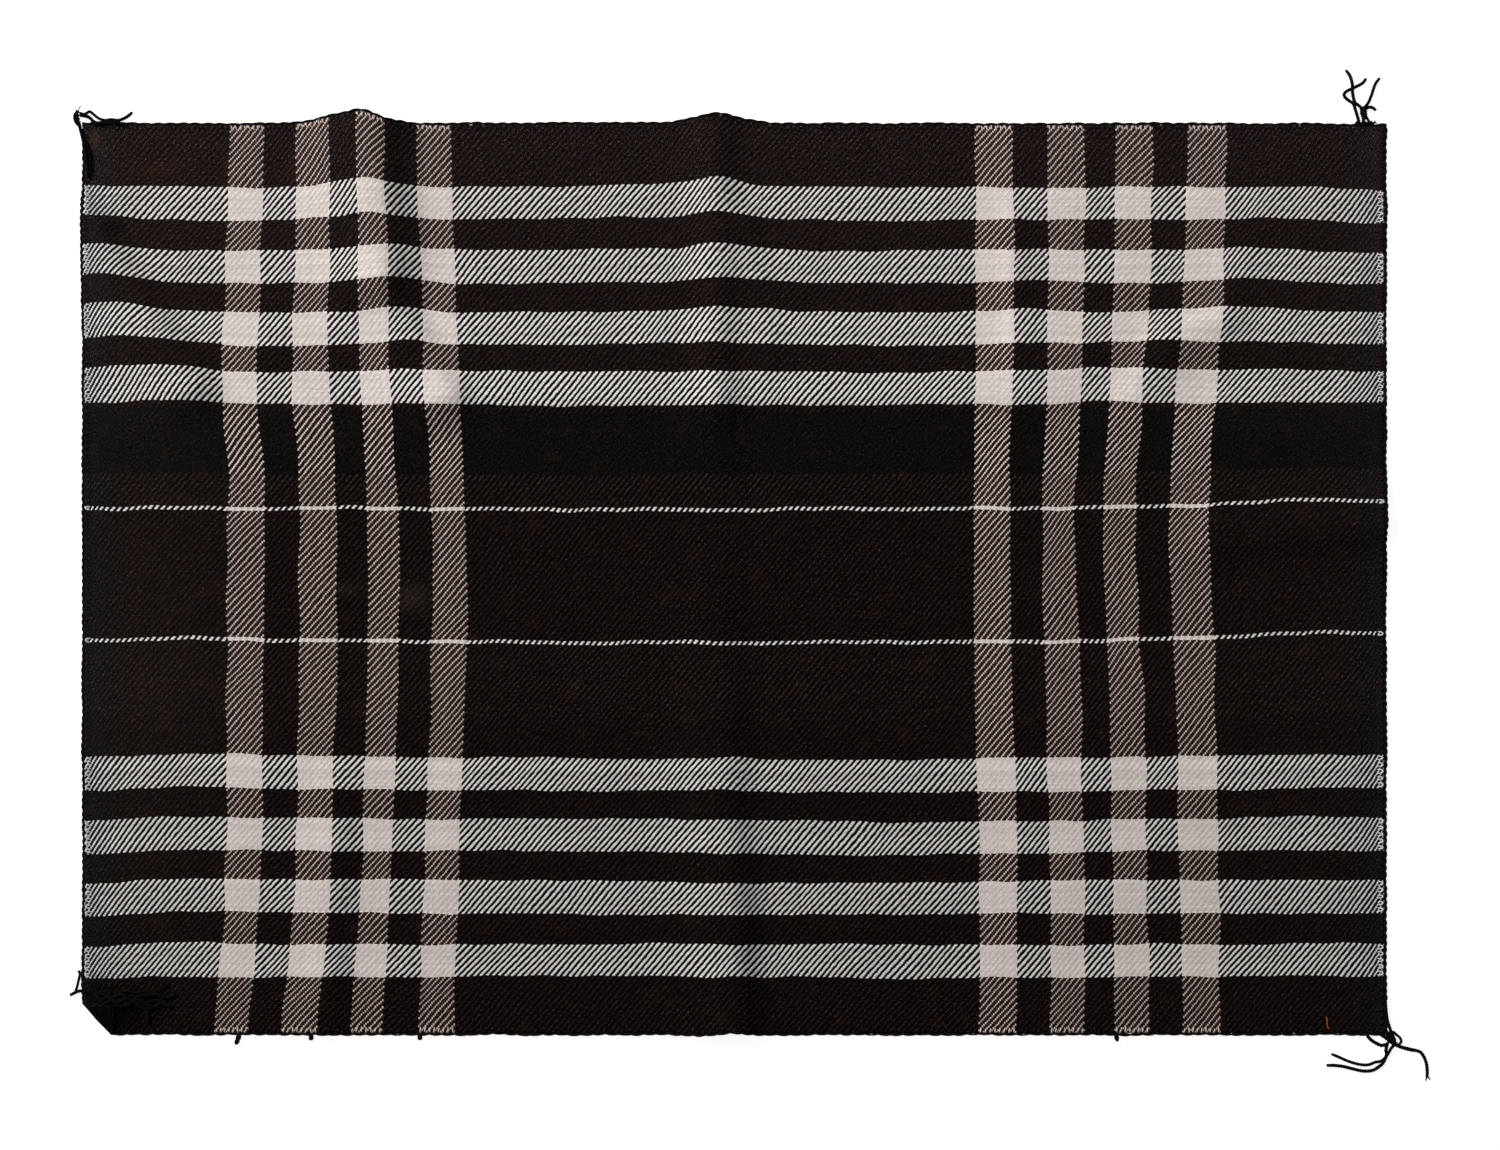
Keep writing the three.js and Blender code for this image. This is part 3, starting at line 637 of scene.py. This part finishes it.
def weaveMaterial():
    # 2/2 twill whose lines rise to the right. A warp's height is a sine along it, up for two wefts
    # and down for two, plus a round profile across it; a weft's is the opposite. The higher one shows, and
    # where they meet the darker one's fuzz and its painted shade hide more of the other. The hollows get
    # painted shade and the tops a painted highlight.
    material, shader = newMaterial("plaidTwill")
    w = Wires(material)
    place = w.parts(w.node("ShaderNodeUVMap", uv_map="weave").outputs[0])
    u = w.times(place[0], float(warpCount))
    v = w.times(place[1], float(weftCount))
    wander, (grainU, grainV) = twill["wander"], twill["wanderGrain"]
    wobbleU = w.noise(w.scaled(u, v, grainU, grainU), 1.0, 1.0)
    wobbleV = w.noise(w.vector(w.times(u, grainV), w.timesPlus(v, grainV, 40.0)), 1.0, 1.0)
    u = w.plus(u, w.timesPlus(wobbleU, wander, -wander / 2))
    v = w.plus(v, w.timesPlus(wobbleV, wander, -wander / 2))
    warp, weft = w.math("FLOOR", u), w.math("FLOOR", v)
    underside = w.node("ShaderNodeAttribute", attribute_name="underside").outputs["Fac"]
    turned = w.times(underside, 2.0)  # what is up on the face is down on the back
    warpWave = overUnder(w, w.plus(turned, w.minus(v, w.plus(warp, 0.5))))
    weftWave = overUnder(w, w.plus(turned, w.minus(w.plus(weft, 0.5), u)))
    fromSide = w.math("MINIMUM", place[0], w.minus(1.0, place[0]))
    beside = w.math("EXPONENT", w.times(fromSide, -clothWide / weave["edgeReach"]))
    sunk = {colour: (deep, deep, deep) for colour, deep in weave["sunk"].items()}
    lower = w.brightness(w.stripes(place[1], stopsOf(weave["wefts"], weftCount, sunk)))
    warpBase = w.timesPlus(beside, weave["edgeRise"], w.plus(lower, weave["warpBias"]))
    warpHigh = w.timesPlus(roundness(w, u), twill["roundPart"], w.plus(warpWave, warpBase))
    weftHigh = w.minus(w.times(roundness(w, v), twill["roundPart"]), weftWave)
    warpColour = yarnColour(w, warp, v, weave["warps"], warpCount, 3.0)
    weftColour = yarnColour(w, weft, u, weave["wefts"], weftCount, 11.0)
    over = w.minus(warpHigh, weftHigh)
    share = w.stretch(over, -weave["softness"], weave["softness"])
    warpLight, weftLight = w.brightness(warpColour), w.brightness(weftColour)
    warpPull = w.times(share, w.math("SQRT", weftLight))
    weftPull = w.times(w.minus(1.0, share), w.math("SQRT", warpLight))
    share = w.math("DIVIDE", warpPull, w.plus(warpPull, weftPull))
    both = w.math("MINIMUM", warpLight, weftLight)
    # painted bounce light: light cream warps lend reddish light to the brown wefts beside them
    weftColour = tinted(w, weftColour, warpLight, weave["creamBounce"])
    colour = w.mix(share, weftColour, warpColour)
    high = w.math("MAXIMUM", warpHigh, weftHigh)
    speckle = w.noise(w.scaled(u, v, 0.9, 0.9), 1.0, 3.0, 0.8)
    light = w.stretch(both, *twill["lightFrom"])  # 1 where both yarns are light
    lit = w.stretch(w.brightness(colour), *twill["lightFrom"])
    # uneven spinning of the dark yarn, and painted glints where its fuzz catches the light
    spunAndGlint = w.math("EXPONENT", w.timesPlus(speckle, *twill["thinThickGlint"]))
    # painted shade in the hollows between the yarns and painted highlight on their tops, for dark, mixed
    # and light yarn
    deep, plain, shallow = [w.stretch(high, *twill["hollowTop"], *twill[kept])
                            for kept in ("darkKept", "mixedKept", "lightKept")]
    deep = w.times(deep, spunAndGlint)
    shallow = w.plus(shallow, w.stretch(speckle, 0.3, 0.7, *twill["lightSpeckle"]))
    # painted sheen on the dark yarn towards the top edge, with dust
    dustSheen = w.times(w.stretch(place[1], twill["dustSheenFrom"], 1.0), deep)
    deep = w.plus(deep, w.times(lit, w.minus(plain, deep)))
    hollow = w.plus(deep, w.times(light, w.minus(shallow, deep)))
    # painted shade: darker towards the lower end, as the light falls off towards it
    hollow = w.times(hollow, w.stretch(place[1], 0.0, twill["lowShadeTo"], weave["lowEndShade"], 1.0))
    # the colour takes the painted shade and highlight
    colour = w.dimmed(colour, hollow)
    cool = w.times(w.stretch(fromSide, *twill["coolFrom"], 1.0, 0.0), w.minus(1.0, lit))
    colour = w.mix(cool, colour, w.mix(1.0, colour, weave["coolSide"], "MULTIPLY"))
    flat = w.scaled(place[0], place[1], clothWide / mm, clothLong / mm)
    patch = w.stretch(w.noise(flat, 0.045, 3.0, 0.6), *twill["rustFrom"])
    colour = tinted(w, colour, patch, weave["rust"])
    # dust and painted sheen on the dark yarn towards the top
    colour = tinted(w, colour, dustSheen, weave["dustAndSheen"])
    for *where, tint in spots:
        colour = tinted(w, colour, spotShare(w, place, *where), tint)
    for *where, depth in shades:
        kept = w.timesPlus(spotShare(w, place, *where), -depth, 1.0)
        colour = w.dimmed(colour, w.math("MAXIMUM", kept, twill["leastKept"]))
    w.plug(colour, shader.inputs["Base Color"])
    fuzz = w.noise(w.scaled(u, v, 1.3, 1.5), 2.2, 3.0, 0.7)
    w.bump(w.timesPlus(fuzz, 0.5, high), twill["bump"], twill["bumpHigh"], shader)
    woolShader(shader, 0.01)
    return material


def spotShare(w, place, middleX, middleY, reachX, reachY):
    # a bell round the spot's middle, broken up by noise
    x = w.minus(w.times(place[0], clothWide / mm), clothWide / mm / 2 + middleX)
    y = w.minus(w.times(place[1], clothLong / mm), clothLong / mm / 2 + middleY)
    farX, farY = w.math("DIVIDE", x, reachX), w.math("DIVIDE", y, reachY)
    far = w.plus(w.times(farX, farX), w.times(farY, farY))
    rough = w.stretch(w.noise(w.vector(x, y), 0.7, 2.0), 0.35, 0.65, 0.3, 1.3)
    return w.times(rough, w.math("EXPONENT", w.times(far, -0.5)))


# yarn: cords, loops, tassels

yarnFinish = dict(
    selvedge=dict(dark=(0.0022, 0.0019, 0.0019), light=(0.0070, 0.0055, 0.0052)),
    tassel=dict(dark=(0.0012, 0.0011, 0.0013), light=(0.0036, 0.0033, 0.0042)),
    fibre=dict(dark=(0.18, 0.016, 0.005), light=(0.50, 0.07, 0.022)),
    lint=dict(dark=(0.03, 0.026, 0.023), light=(0.10, 0.09, 0.08)),
)


def yarnMaterial(name, dark, light):
    # fibres run aslant along each ply: noise stretched along the yarn and sheared round it
    material, shader = newMaterial(name)
    w = Wires(material)
    run, turn = w.parts(w.node("ShaderNodeUVMap", uv_map="yarn").outputs[0])[:2]
    angle = w.times(turn, 2 * math.pi)
    place = w.vector(w.times(run, 0.45), w.times(w.math("COSINE", angle), 1.2),
                     w.timesPlus(w.math("SINE", angle), 1.2, w.times(run, 0.8)))
    fibres = w.noise(place, 2.4, 3.0, 0.65)
    body = w.node("ShaderNodeTexCoord").outputs["Object"]
    patches = w.noise(body, 160.0, 2.0)  # about 6 mm wide
    level = w.stretch(w.plus(fibres, w.times(patches, 0.8)), 0.62, 1.18)
    w.plug(w.mix(level, (*dark, 1.0), (*light, 1.0)), shader.inputs["Base Color"])
    w.bump(fibres, 0.5, 0.3 * mm, shader)
    woolShader(shader, 0.03)
    return material


def loopMaterial():
    # the cloth's own yarns where they turn at its edges, each point dyed by its "dye" colour
    material, shader = newMaterial("turningYarn")
    w = Wires(material)
    run, turn = w.parts(w.node("ShaderNodeUVMap", uv_map="yarn").outputs[0])[:2]
    dye = w.node("ShaderNodeAttribute", attribute_name="dye").outputs["Color"]
    fibres = w.noise(w.scaled(run, turn, 0.6, 6.0), 2.0, 2.0, 0.6)
    w.plug(w.dimmed(dye, w.stretch(fibres, 0.3, 0.7, 0.72, 1.1)), shader.inputs["Base Color"])
    w.bump(fibres, 0.4, 0.25 * mm, shader)
    woolShader(shader, 0.05)
    return material


cords = dict(
    plies=2, sides=8, step=1.15 * mm, lift=0.25 * mm,
    end=dict(offset=1.2 * mm, radius=0.95 * mm, spread=0.80 * mm, pitch=23.6 * mm),
    side=dict(offset=0.9 * mm, radius=1.15 * mm, spread=0.90 * mm, pitch=12.8 * mm),
    wander=1.1 * mm, wanderLong=(14 * mm, 80 * mm),
    swell=0.3, swellLong=(6 * mm, 30 * mm),  # how much and how often they thicken
)


def edgeCord(name, node, along, side, sign, material):
    # two plies twisted round a line just outside the edge, which wanders in and out a little
    kind = cords["side" if side else "end"]
    half = (clothLong / 2, clothWide / 2) if side else (clothWide / 2, clothLong / 2)
    reach = half[0] + (0 if side else cords["side"]["offset"] + cords["side"]["radius"])
    run = np.linspace(-reach, reach, int(2 * reach / cords["step"]))
    wander = cords["wander"] * waves(run, np.full_like(run, sign), cords["wanderLong"], 7, 20 + along)
    out = sign * (half[1] + kind["offset"] + wander)
    across, length = (out, run) if side else (run, out)
    route = layCloth(across, length, cords["lift"])
    up = faceDirection(across, length)
    routes, radii = plied(route, cords["plies"], kind["radius"], kind["spread"], kind["pitch"], up)
    swell = 1 + cords["swell"] * waves(run, np.zeros_like(run), cords["swellLong"], 5, 30 + along)
    twisted = tubes(routes, radii * swell, cords["sides"], up)
    return yarnPiece(name, twisted, material, "selvedge_yarn", node)


def finish(piece, slot, *nodes):
    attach(piece, "root")
    if nodes:
        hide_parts(*nodes)
    return piece


def yarnPiece(name, shape, material, slot, *nodes):
    return finish(makeMesh(name, *shape, material, "yarn"), slot, *nodes)


loops = dict(
    weftsEach=3.7, weftRadius=0.80 * mm, weftReach=4.6 * mm, weftGape=1.55 * mm,
    warpsEach=2.9, warpRadius=0.58 * mm, warpReach=4.4 * mm, lean=0.9 * mm,
    weftInside=1.4 * mm, warpInside=0.3 * mm,  # how far inside the cloth's edge they turn
    lift=1.25 * mm, steps=11, sides=6,
    # random parts of the thickness, the gape and reach of wefts, the lean and reach of warps
    thickPart=(0.85, 1.15), gapePart=(0.8, 1.2), weftPart=(0.85, 1.1),
    leanPart=(-0.4, 1.4), warpPart=(0.8, 1.15),
)


def loopPlaces(yarn, total):
    # evenly spaced places in each stretch of one colour, and their colours
    places, dyes, at = [], [], 0
    for colour, count in weave[yarn + "s"]:
        made = max(1, round(count / loops[yarn + "sEach"]))
        places.append((at + (np.arange(made) + 0.5) * count / made - total / 2) * weave[yarn + "Pitch"])
        dyes += [weave["colours"][colour]] * made
        at += count
    return np.concatenate(places), np.array(dyes)


def edgeLoops(yarn, routesOf, total, material):
    # one short tube for each loop on both edges, thinner at its ends
    places, dyes = loopPlaces(yarn, total)
    dice = np.random.default_rng(seed + len(places))
    t = np.linspace(0, 1, loops["steps"])
    routes = np.concatenate([routesOf(sign, places, t, dice) for sign in (-1, 1)])
    thick = loops[yarn + "Radius"] * (0.55 + 0.45 * np.sin(math.pi * t))
    thick = thick * dice.uniform(*loops["thickPart"], (len(routes), 1))
    piece = yarnPiece(yarn + "Turns", tubes(routes, thick, loops["sides"]), material, "plaid_wool")
    dye = piece.data.color_attributes.new("dye", "FLOAT_COLOR", "POINT")
    count = len(piece.data.vertices)
    colours = np.ones((count, 4))
    colours[:, :3] = np.repeat(np.concatenate([dyes, dyes]), count // len(routes), axis=0)
    dye.data.foreach_set("color", colours.astype(np.float32).ravel())
    return piece


def weftTurns(sign, places, t, dice):
    # half an oval that opens towards the cloth
    count = len(places)
    gape = loops["weftGape"] * dice.uniform(*loops["gapePart"], (count, 1))
    reach = loops["weftReach"] * dice.uniform(*loops["weftPart"], (count, 1))
    out = clothWide / 2 - loops["weftInside"] - reach + reach * np.sin(math.pi * t) ** 0.6
    along = places[:, None] + gape * np.cos(math.pi * t)
    lift = loops["lift"] + 0.45 * mm * np.sin(math.pi * t)
    return layCloth(sign * out, along, lift)


def warpTurns(sign, places, t, dice):
    # a tick from the cloth's face over its edge, leaning a little
    count = len(places)
    lean = loops["lean"] * dice.uniform(*loops["leanPart"], (count, 1))
    reach = loops["warpReach"] * dice.uniform(*loops["warpPart"], (count, 1))
    out = clothLong / 2 - loops["warpInside"] - reach * (1 - t)
    across = places[:, None] - sign * lean * (t - 0.3) + 0.25 * mm * np.sin(2 * math.pi * t)
    lift = loops["lift"] - 0.1 * mm + 0.5 * mm * np.sin(math.pi * t)
    return layCloth(across, sign * out, lift)


# tassels, in millimetres: heads wound round a line, with their width and number of turns, and
# strands, with their thickness, the stops of their middle line, and where they rest if that isn't
# the floor; a stop is x, y, and the height where it isn't at rest

strand = dict(
    plies=2, radius=1.25 * mm, spread=0.56 * mm, pitch=5.2 * mm, step=0.55 * mm, sides=7, taper=0.12,
)
wound = dict(radius=0.72 * mm, step=0.12 * mm, lowest=0.7 * mm, coreSides=8, coreSteps=12)
onFloor, onStrand, onFace = 1.2, 3.2, 4.4  # how high a strand's middle lies there

upperLeft = dict(
    name="tasselUpperLeft", node="tassel_upper_left",
    heads=[([(-628.8, 434.4, 2), (-628.4, 427, 2.4), (-626.2, 418, 2.4)], 1.7, 5)],
    strands=[
        (0.3, [(-628, 433, 2), (-626.6, 436.8, 1.6), (-625.6, 438.2, 1.2)]),
        (0.85, [(-626, 431.5, 3), (-622.6, 430.6, 1.6), (-620, 431.6), (-617.2, 433.2),
         (-613.6, 430.6, 1.5), (-609.4, 427.2, 1.8), (-604.6, 425.2, 2.8), (-599.6, 425, 3)]),
        (1, [(-625.6, 429.4, 3), (-620.4, 428.8, 1.6), (-616.6, 427, 1.6), (-613.4, 423.8, 3.2),
         (-608.6, 421.8), (-603.6, 421.2)], onFace),
        (0.95, [(-603.2, 423.6, 3.6), (-597.4, 425.4, 3), (-590.8, 424.8, 2.6), (-585.2, 426.6, 1.6),
         (-580.8, 429.4), (-577.6, 432.2)]),
        (1, [(-627.4, 423.6, 2.4), (-625.5, 416, 2.4), (-622.6, 405, 3.8), (-620, 392.7),
         (-618.6, 380.5), (-618, 371.2)], onFace),
        (0.8, [(-626.4, 420, 2.6), (-621.6, 407, 4), (-617, 395.5), (-615.4, 383.4), (-616.2, 374)],
         onFace),
        (1.15, [(-613, 421, 3), (-604, 422.6, 3.4), (-596.5, 422.4, 3.2), (-589, 421.8, 3.2),
         (-582, 420.4, 3.6)]),
        (0.8, [(-627.2, 433, 2.4), (-630.6, 431.2, 1.6), (-631.4, 426.8), (-629.8, 422.6, 1.6),
         (-627.6, 420, 2)]),
    ],
)
upperRight = dict(
    name="tasselUpperRight", node="tassel_upper_right",
    heads=[([(573.6, 437.6, 1.8), (574.2, 431.6, 2.4), (573.8, 425.4, 2.2)], 2.2, 6),
           ([(565.4, 422.6, 2.4), (573.6, 421.6, 2.8), (585.2, 423, 2.4)], 1.7, 7)],
    strands=[
        (0.95, [(573, 421.6, 2.6), (573, 427, 2.2), (571.6, 431.6, 1.6), (571.4, 436, 1.4),
         (568.6, 439, 1.6), (565.4, 441, 2.8), (564, 444.6, 2.6), (563.2, 450.6),
         (562.8, 456, onStrand), (562.2, 461.6, 1.8), (560.4, 467), (557, 471.8)]),
        (0.95, [(569, 421.6, 2.4), (568.4, 426, 1.6), (567, 431), (565.6, 435.6), (563.8, 440.6),
         (560.4, 442.9), (556.2, 446.4), (555.3, 449.8), (558, 452.4), (563, 454.8), (568.4, 457.4),
         (573, 460.2), (575.6, 463.9)]),
        (0.9, [(573.6, 434, 2.6), (575.2, 438, 1.6), (578, 441.6), (580.8, 448.4), (582.8, 454.6),
         (584.8, 459.6), (588.4, 464.4)]),
        (0.95, [(574, 434.6, 2.6), (577.8, 437, 1.5), (581.4, 437), (584.8, 434.6)]),
        (0.85, [(575.4, 429, 2.2), (577.4, 425.4, 1.8), (579.2, 422.8, 2.2)]),
    ],
)
lowerLeft = dict(
    name="tasselLowerLeft", node="tassel_lower_left",
    heads=[([(-589.6, -396.2, 5.6), (-587.6, -397, 5.9), (-585, -397.6, 5.2)], 1.7, 3),
           ([(-627.6, -370, 1.6), (-625.4, -372.6, 2.4)], 1.1, 2)],
    strands=[
        (0.95, [(-588, -395.6, 5), (-597, -392.6), (-612, -390.2), (-621.6, -388.6),
         (-627, -388.8, 3), (-631, -390.4, 1.4), (-635.2, -392.6, onFloor)], onFace),
        (0.8, [(-630.6, -390, 1.4), (-629, -385), (-627.6, -379), (-626.2, -373.2, 1.4)]),
        (0.75, [(-626.4, -372, 2.4), (-624, -374.6, 3.6), (-621.8, -376.4)], onFace),
        (1.1, [(-587, -396, 5), (-578, -393.2), (-566, -393.4), (-554, -391.4), (-546, -394.6),
         (-536.6, -391.4)], onFace),
        (1.1, [(-587, -397, 5), (-576, -397.4), (-566, -399.6), (-555, -397.4), (-547, -400.6),
         (-540.6, -403.8)], onFace),
        (1, [(-587.6, -398, 5), (-580, -402.2), (-571, -401.8), (-564.6, -405.6), (-562.2, -411),
         (-562.6, -418.6)], onFace),
        (1, [(-588.6, -395, 5), (-592, -390.2), (-583, -388.2), (-574, -390.2, 5.6), (-565, -388.6),
         (-556.6, -389.4)], onFace),
        (0.9, [(-586.4, -396.4, 5.2), (-580, -400.2, 5.8), (-570, -396.4, 6.2), (-560, -401.8, 5.8),
         (-551.6, -403.2)], onFace),
        (1.1, [(-612, -391), (-606, -396.5, 5.6), (-598, -393.5, 6), (-590, -398.5, 6.2),
         (-581, -395, 6), (-572, -399, 5.4), (-566, -396)], onFace),
        (1.1, [(-609, -398), (-601, -399.5, 5.4), (-594, -394, 6.4), (-586, -391.5, 6),
         (-578, -396.5, 6.4), (-569, -403, 5.4), (-560, -404.6), (-548, -399.5), (-541, -404)], onFace),
        (1, [(-604, -388.6), (-598, -390, 5.6), (-593, -399, 6.2), (-586, -402.5, 5.6),
         (-578, -400, 6.2), (-571, -393.5, 5.8), (-560, -391), (-551, -386.5), (-545, -383.5)], onFace),
    ],
)
lowerRight = dict(
    name="tasselLowerRight", node="tassel_lower_right",
    heads=[([(592.4, -424.6, 3.4), (598.2, -431.6, 3.4), (604, -439.2, 2.4)], 2.9, 6),
           ([(599.4, -425.6, 3.2), (600.4, -431.6, 3), (603, -438.6, 2.4)], 1.9, 6)],
    strands=[
        (1.05, [(576.8, -430.4, 2.2), (580.6, -434.6, 1.4), (585.4, -437.6), (590.6, -439.6),
         (596, -438, 2.2)]),
        (1, [(595.6, -437, 2.4), (594.4, -444.6), (595, -448.4), (591.4, -455.6, onStrand),
         (588, -459.2, 2), (581.8, -463), (573, -463.6), (563.6, -461.6), (554.6, -459.4),
         (546.4, -458.4), (539.4, -458.4)]),
        (1, [(583.4, -425.6, 3.4), (592.8, -431.6, 3.2), (600.3, -437.4, 3), (609.6, -441.6, 1.6),
         (620.4, -444.6)]),
        (1, [(593, -392), (593.8, -404, 3.8), (595.4, -416, 3), (599, -427, 3)], onFace),
        (0.9, [(602.2, -438.6, 2.2), (598.8, -443.2), (594.6, -449.4, onStrand), (590, -454.2, 1.4),
         (584.2, -455.4), (578.6, -457.6), (572.4, -457.8), (565.4, -456.4), (557.8, -453.9),
         (550.4, -450.6), (543.6, -447.8)]),
        (1, [(602.6, -438.4, 2.2), (607.6, -440.8), (616.4, -443), (622.6, -444.4), (627, -446.2),
         (630.4, -451.4), (632.4, -457.6), (633, -464.4), (632.8, -469.6)]),
        (0.45, [(632.9, -468.4), (632.2, -470.6, 0.8), (631.4, -472.6, 0.7)]),
        (0.45, [(633, -468.4), (634.4, -470.2, 0.8), (636, -471.4, 0.7)]),
        (0.8, [(601.4, -427, 3), (604, -429.4, 1.6), (607.6, -432.6), (608.6, -436.4), (605.8, -439.2),
         (603, -439.4, 2)]),
    ],
)

yarnEndThick = 1.5
yarnEnds = [  # short ends of yarn below the bottom cord: from x, to x, and how far down they reach
    (-477, -480.2, 8.6), (-409.9, -410.2, 4.6), (-308.6, -308.4, 4.4), (342.2, 343.2, 5.6),
]


def strandTube(thick, stops, rest=onFloor):
    route = smoothRoute([(*stop, rest)[:3] for stop in stops], strand["step"])
    size = [thick * strand[part] for part in ("radius", "spread")]
    routes, radii = plied(route, strand["plies"], *size, strand["pitch"] * thick, taper=strand["taper"])
    return tubes(routes, radii, strand["sides"])


def woundHead(line, wide, turns):
    # yarn wound round a line: a helix whose reach swells in the middle, over a plain core
    middle = smoothRoute(line, wound["step"])
    t = np.linspace(0, 1, len(middle))[:, None]
    along = unit(np.gradient(middle, axis=0))
    side = unit(np.cross(along, (0.0, 0.0, 1.0)))
    rise = np.cross(side, along)
    reach = wide * mm * (0.5 + 0.5 * np.sin(math.pi * t) ** 0.7)
    turn = 2 * math.pi * turns * t
    helix = middle + reach * (np.cos(turn) * side + 0.75 * np.sin(turn) * rise)
    helix[:, 2] = np.maximum(helix[:, 2], wound["lowest"])
    yarn = tubes(helix[None], np.full((1, len(helix)), wound["radius"]), strand["sides"], along)
    core = middle[:: max(1, len(middle) // wound["coreSteps"])]
    coreReach = (wide * mm * 0.95) * np.sin(np.linspace(0.25, math.pi - 0.25, len(core)))
    low = np.minimum(coreReach, core[:, 2])
    return [yarn, tubes(core[None], low[None], wound["coreSides"])]


def tassel(row, material):
    parts = [strandTube(*one) for one in row["strands"]]
    for head in row["heads"]:
        parts += woundHead(*head)
    return yarnPiece(row["name"], joined(parts), material, "tassel_yarn", row["node"])


def yarnEndPiece(material):
    # each comes out of the cord and bends down to the floor
    low = (-clothLong / 2 + cloth["middle"][1]) / mm
    parts = []
    for fromX, toX, length in yarnEnds:
        fromY, toY = low - 1, low - 2 - length
        stops = [(fromX, fromY, 2.0), ((fromX * 2 + toX) / 3, fromY * 0.6 + toY * 0.4, 1.5), (toX, toY)]
        parts.append(strandTube(yarnEndThick, stops))
    return yarnPiece("bottomYarnEnds", joined(parts), material, "selvedge_yarn")


# what clings to the face: an orange fibre and pale lint

cling = dict(
    fibre=[(537.8, -413.6), (538.7, -417.4), (538.4, -420.4), (540.0, -424.2)],
    fibreThick=0.52 * mm, fibreLift=0.3 * mm,
    lintCount=240, lintLong=(0.7 * mm, 2.2 * mm), lintThick=0.14 * mm, lintLift=0.15 * mm,
    lintInside=20 * mm,  # how far in from the edges it lies
)


def orangeFibre(material):
    # a thin tube along its stops, laid on the face
    flatStops = np.array(cling["fibre"]) - np.array(cloth["middle"]) / mm
    route = smoothRoute(np.column_stack([flatStops, np.zeros(len(flatStops))]), 0.6 * mm)
    laid = layCloth(route[:, 0], route[:, 1], cloth["thick"] / 2 + cling["fibreLift"])
    tube = tubes(laid[None], np.full((1, len(laid)), cling["fibreThick"]), 6)
    return yarnPiece("orangeFibre", tube, material, "plaid_wool")


def lint(material):
    # short bent fibres: a line of random direction plus a sideways arc
    dice = np.random.default_rng(seed + 60)
    count, t = cling["lintCount"], np.linspace(-0.5, 0.5, 6)
    farX, farY = clothWide / 2 - cling["lintInside"], clothLong / 2 - cling["lintInside"]
    across = dice.uniform(-farX, farX, (count, 1))
    along = dice.uniform(-farY, farY, (count, 1))
    turn, long = dice.uniform(0, math.pi, (count, 1)), dice.uniform(*cling["lintLong"], (count, 1))
    bend = long * dice.uniform(-0.8, 0.8, (count, 1)) * (t ** 2 - 0.25)
    x = across + long * t * np.cos(turn) - bend * np.sin(turn)
    y = along + long * t * np.sin(turn) + bend * np.cos(turn)
    routes = layCloth(x, y, cloth["thick"] / 2 + cling["lintLift"])
    hairs = tubes(routes, np.full(x.shape, cling["lintThick"]), 4)
    return yarnPiece("paleLint", hairs, material, "plaid_wool")


# build

addCamera()
addWorld()
for name, settings in lighting.items():
    addLight(name, **settings)
addFloor()
print("studio ready")

blanket = finish(clothSheet(weaveMaterial()), "plaid_wool", "cloth")
print("cloth laid:", len(blanket.data.polygons), "faces")

yarns = {name: yarnMaterial(name + "Yarn", **colours) for name, colours in yarnFinish.items()}
edgeCord("cordTop", "end_cord_top", 1, False, 1, yarns["selvedge"])
edgeCord("cordBottom", "end_cord_bottom", 2, False, -1, yarns["selvedge"])
edgeCord("cordLeft", "side_cord_left", 3, True, -1, yarns["selvedge"])
edgeCord("cordRight", "side_cord_right", 4, True, 1, yarns["selvedge"])
print("four cords twisted")

turning = loopMaterial()
weftLoops = edgeLoops("weft", weftTurns, weftCount, turning)
warpLoops = edgeLoops("warp", warpTurns, warpCount, turning)
print("edge loops made")

for row in (upperLeft, upperRight, lowerLeft, lowerRight):
    tassel(row, yarns["tassel"])
yarnEndPiece(yarns["selvedge"])
fibre, specks = orangeFibre(yarns["fibre"]), lint(yarns["lint"])
print("tassels and loose fibres made")
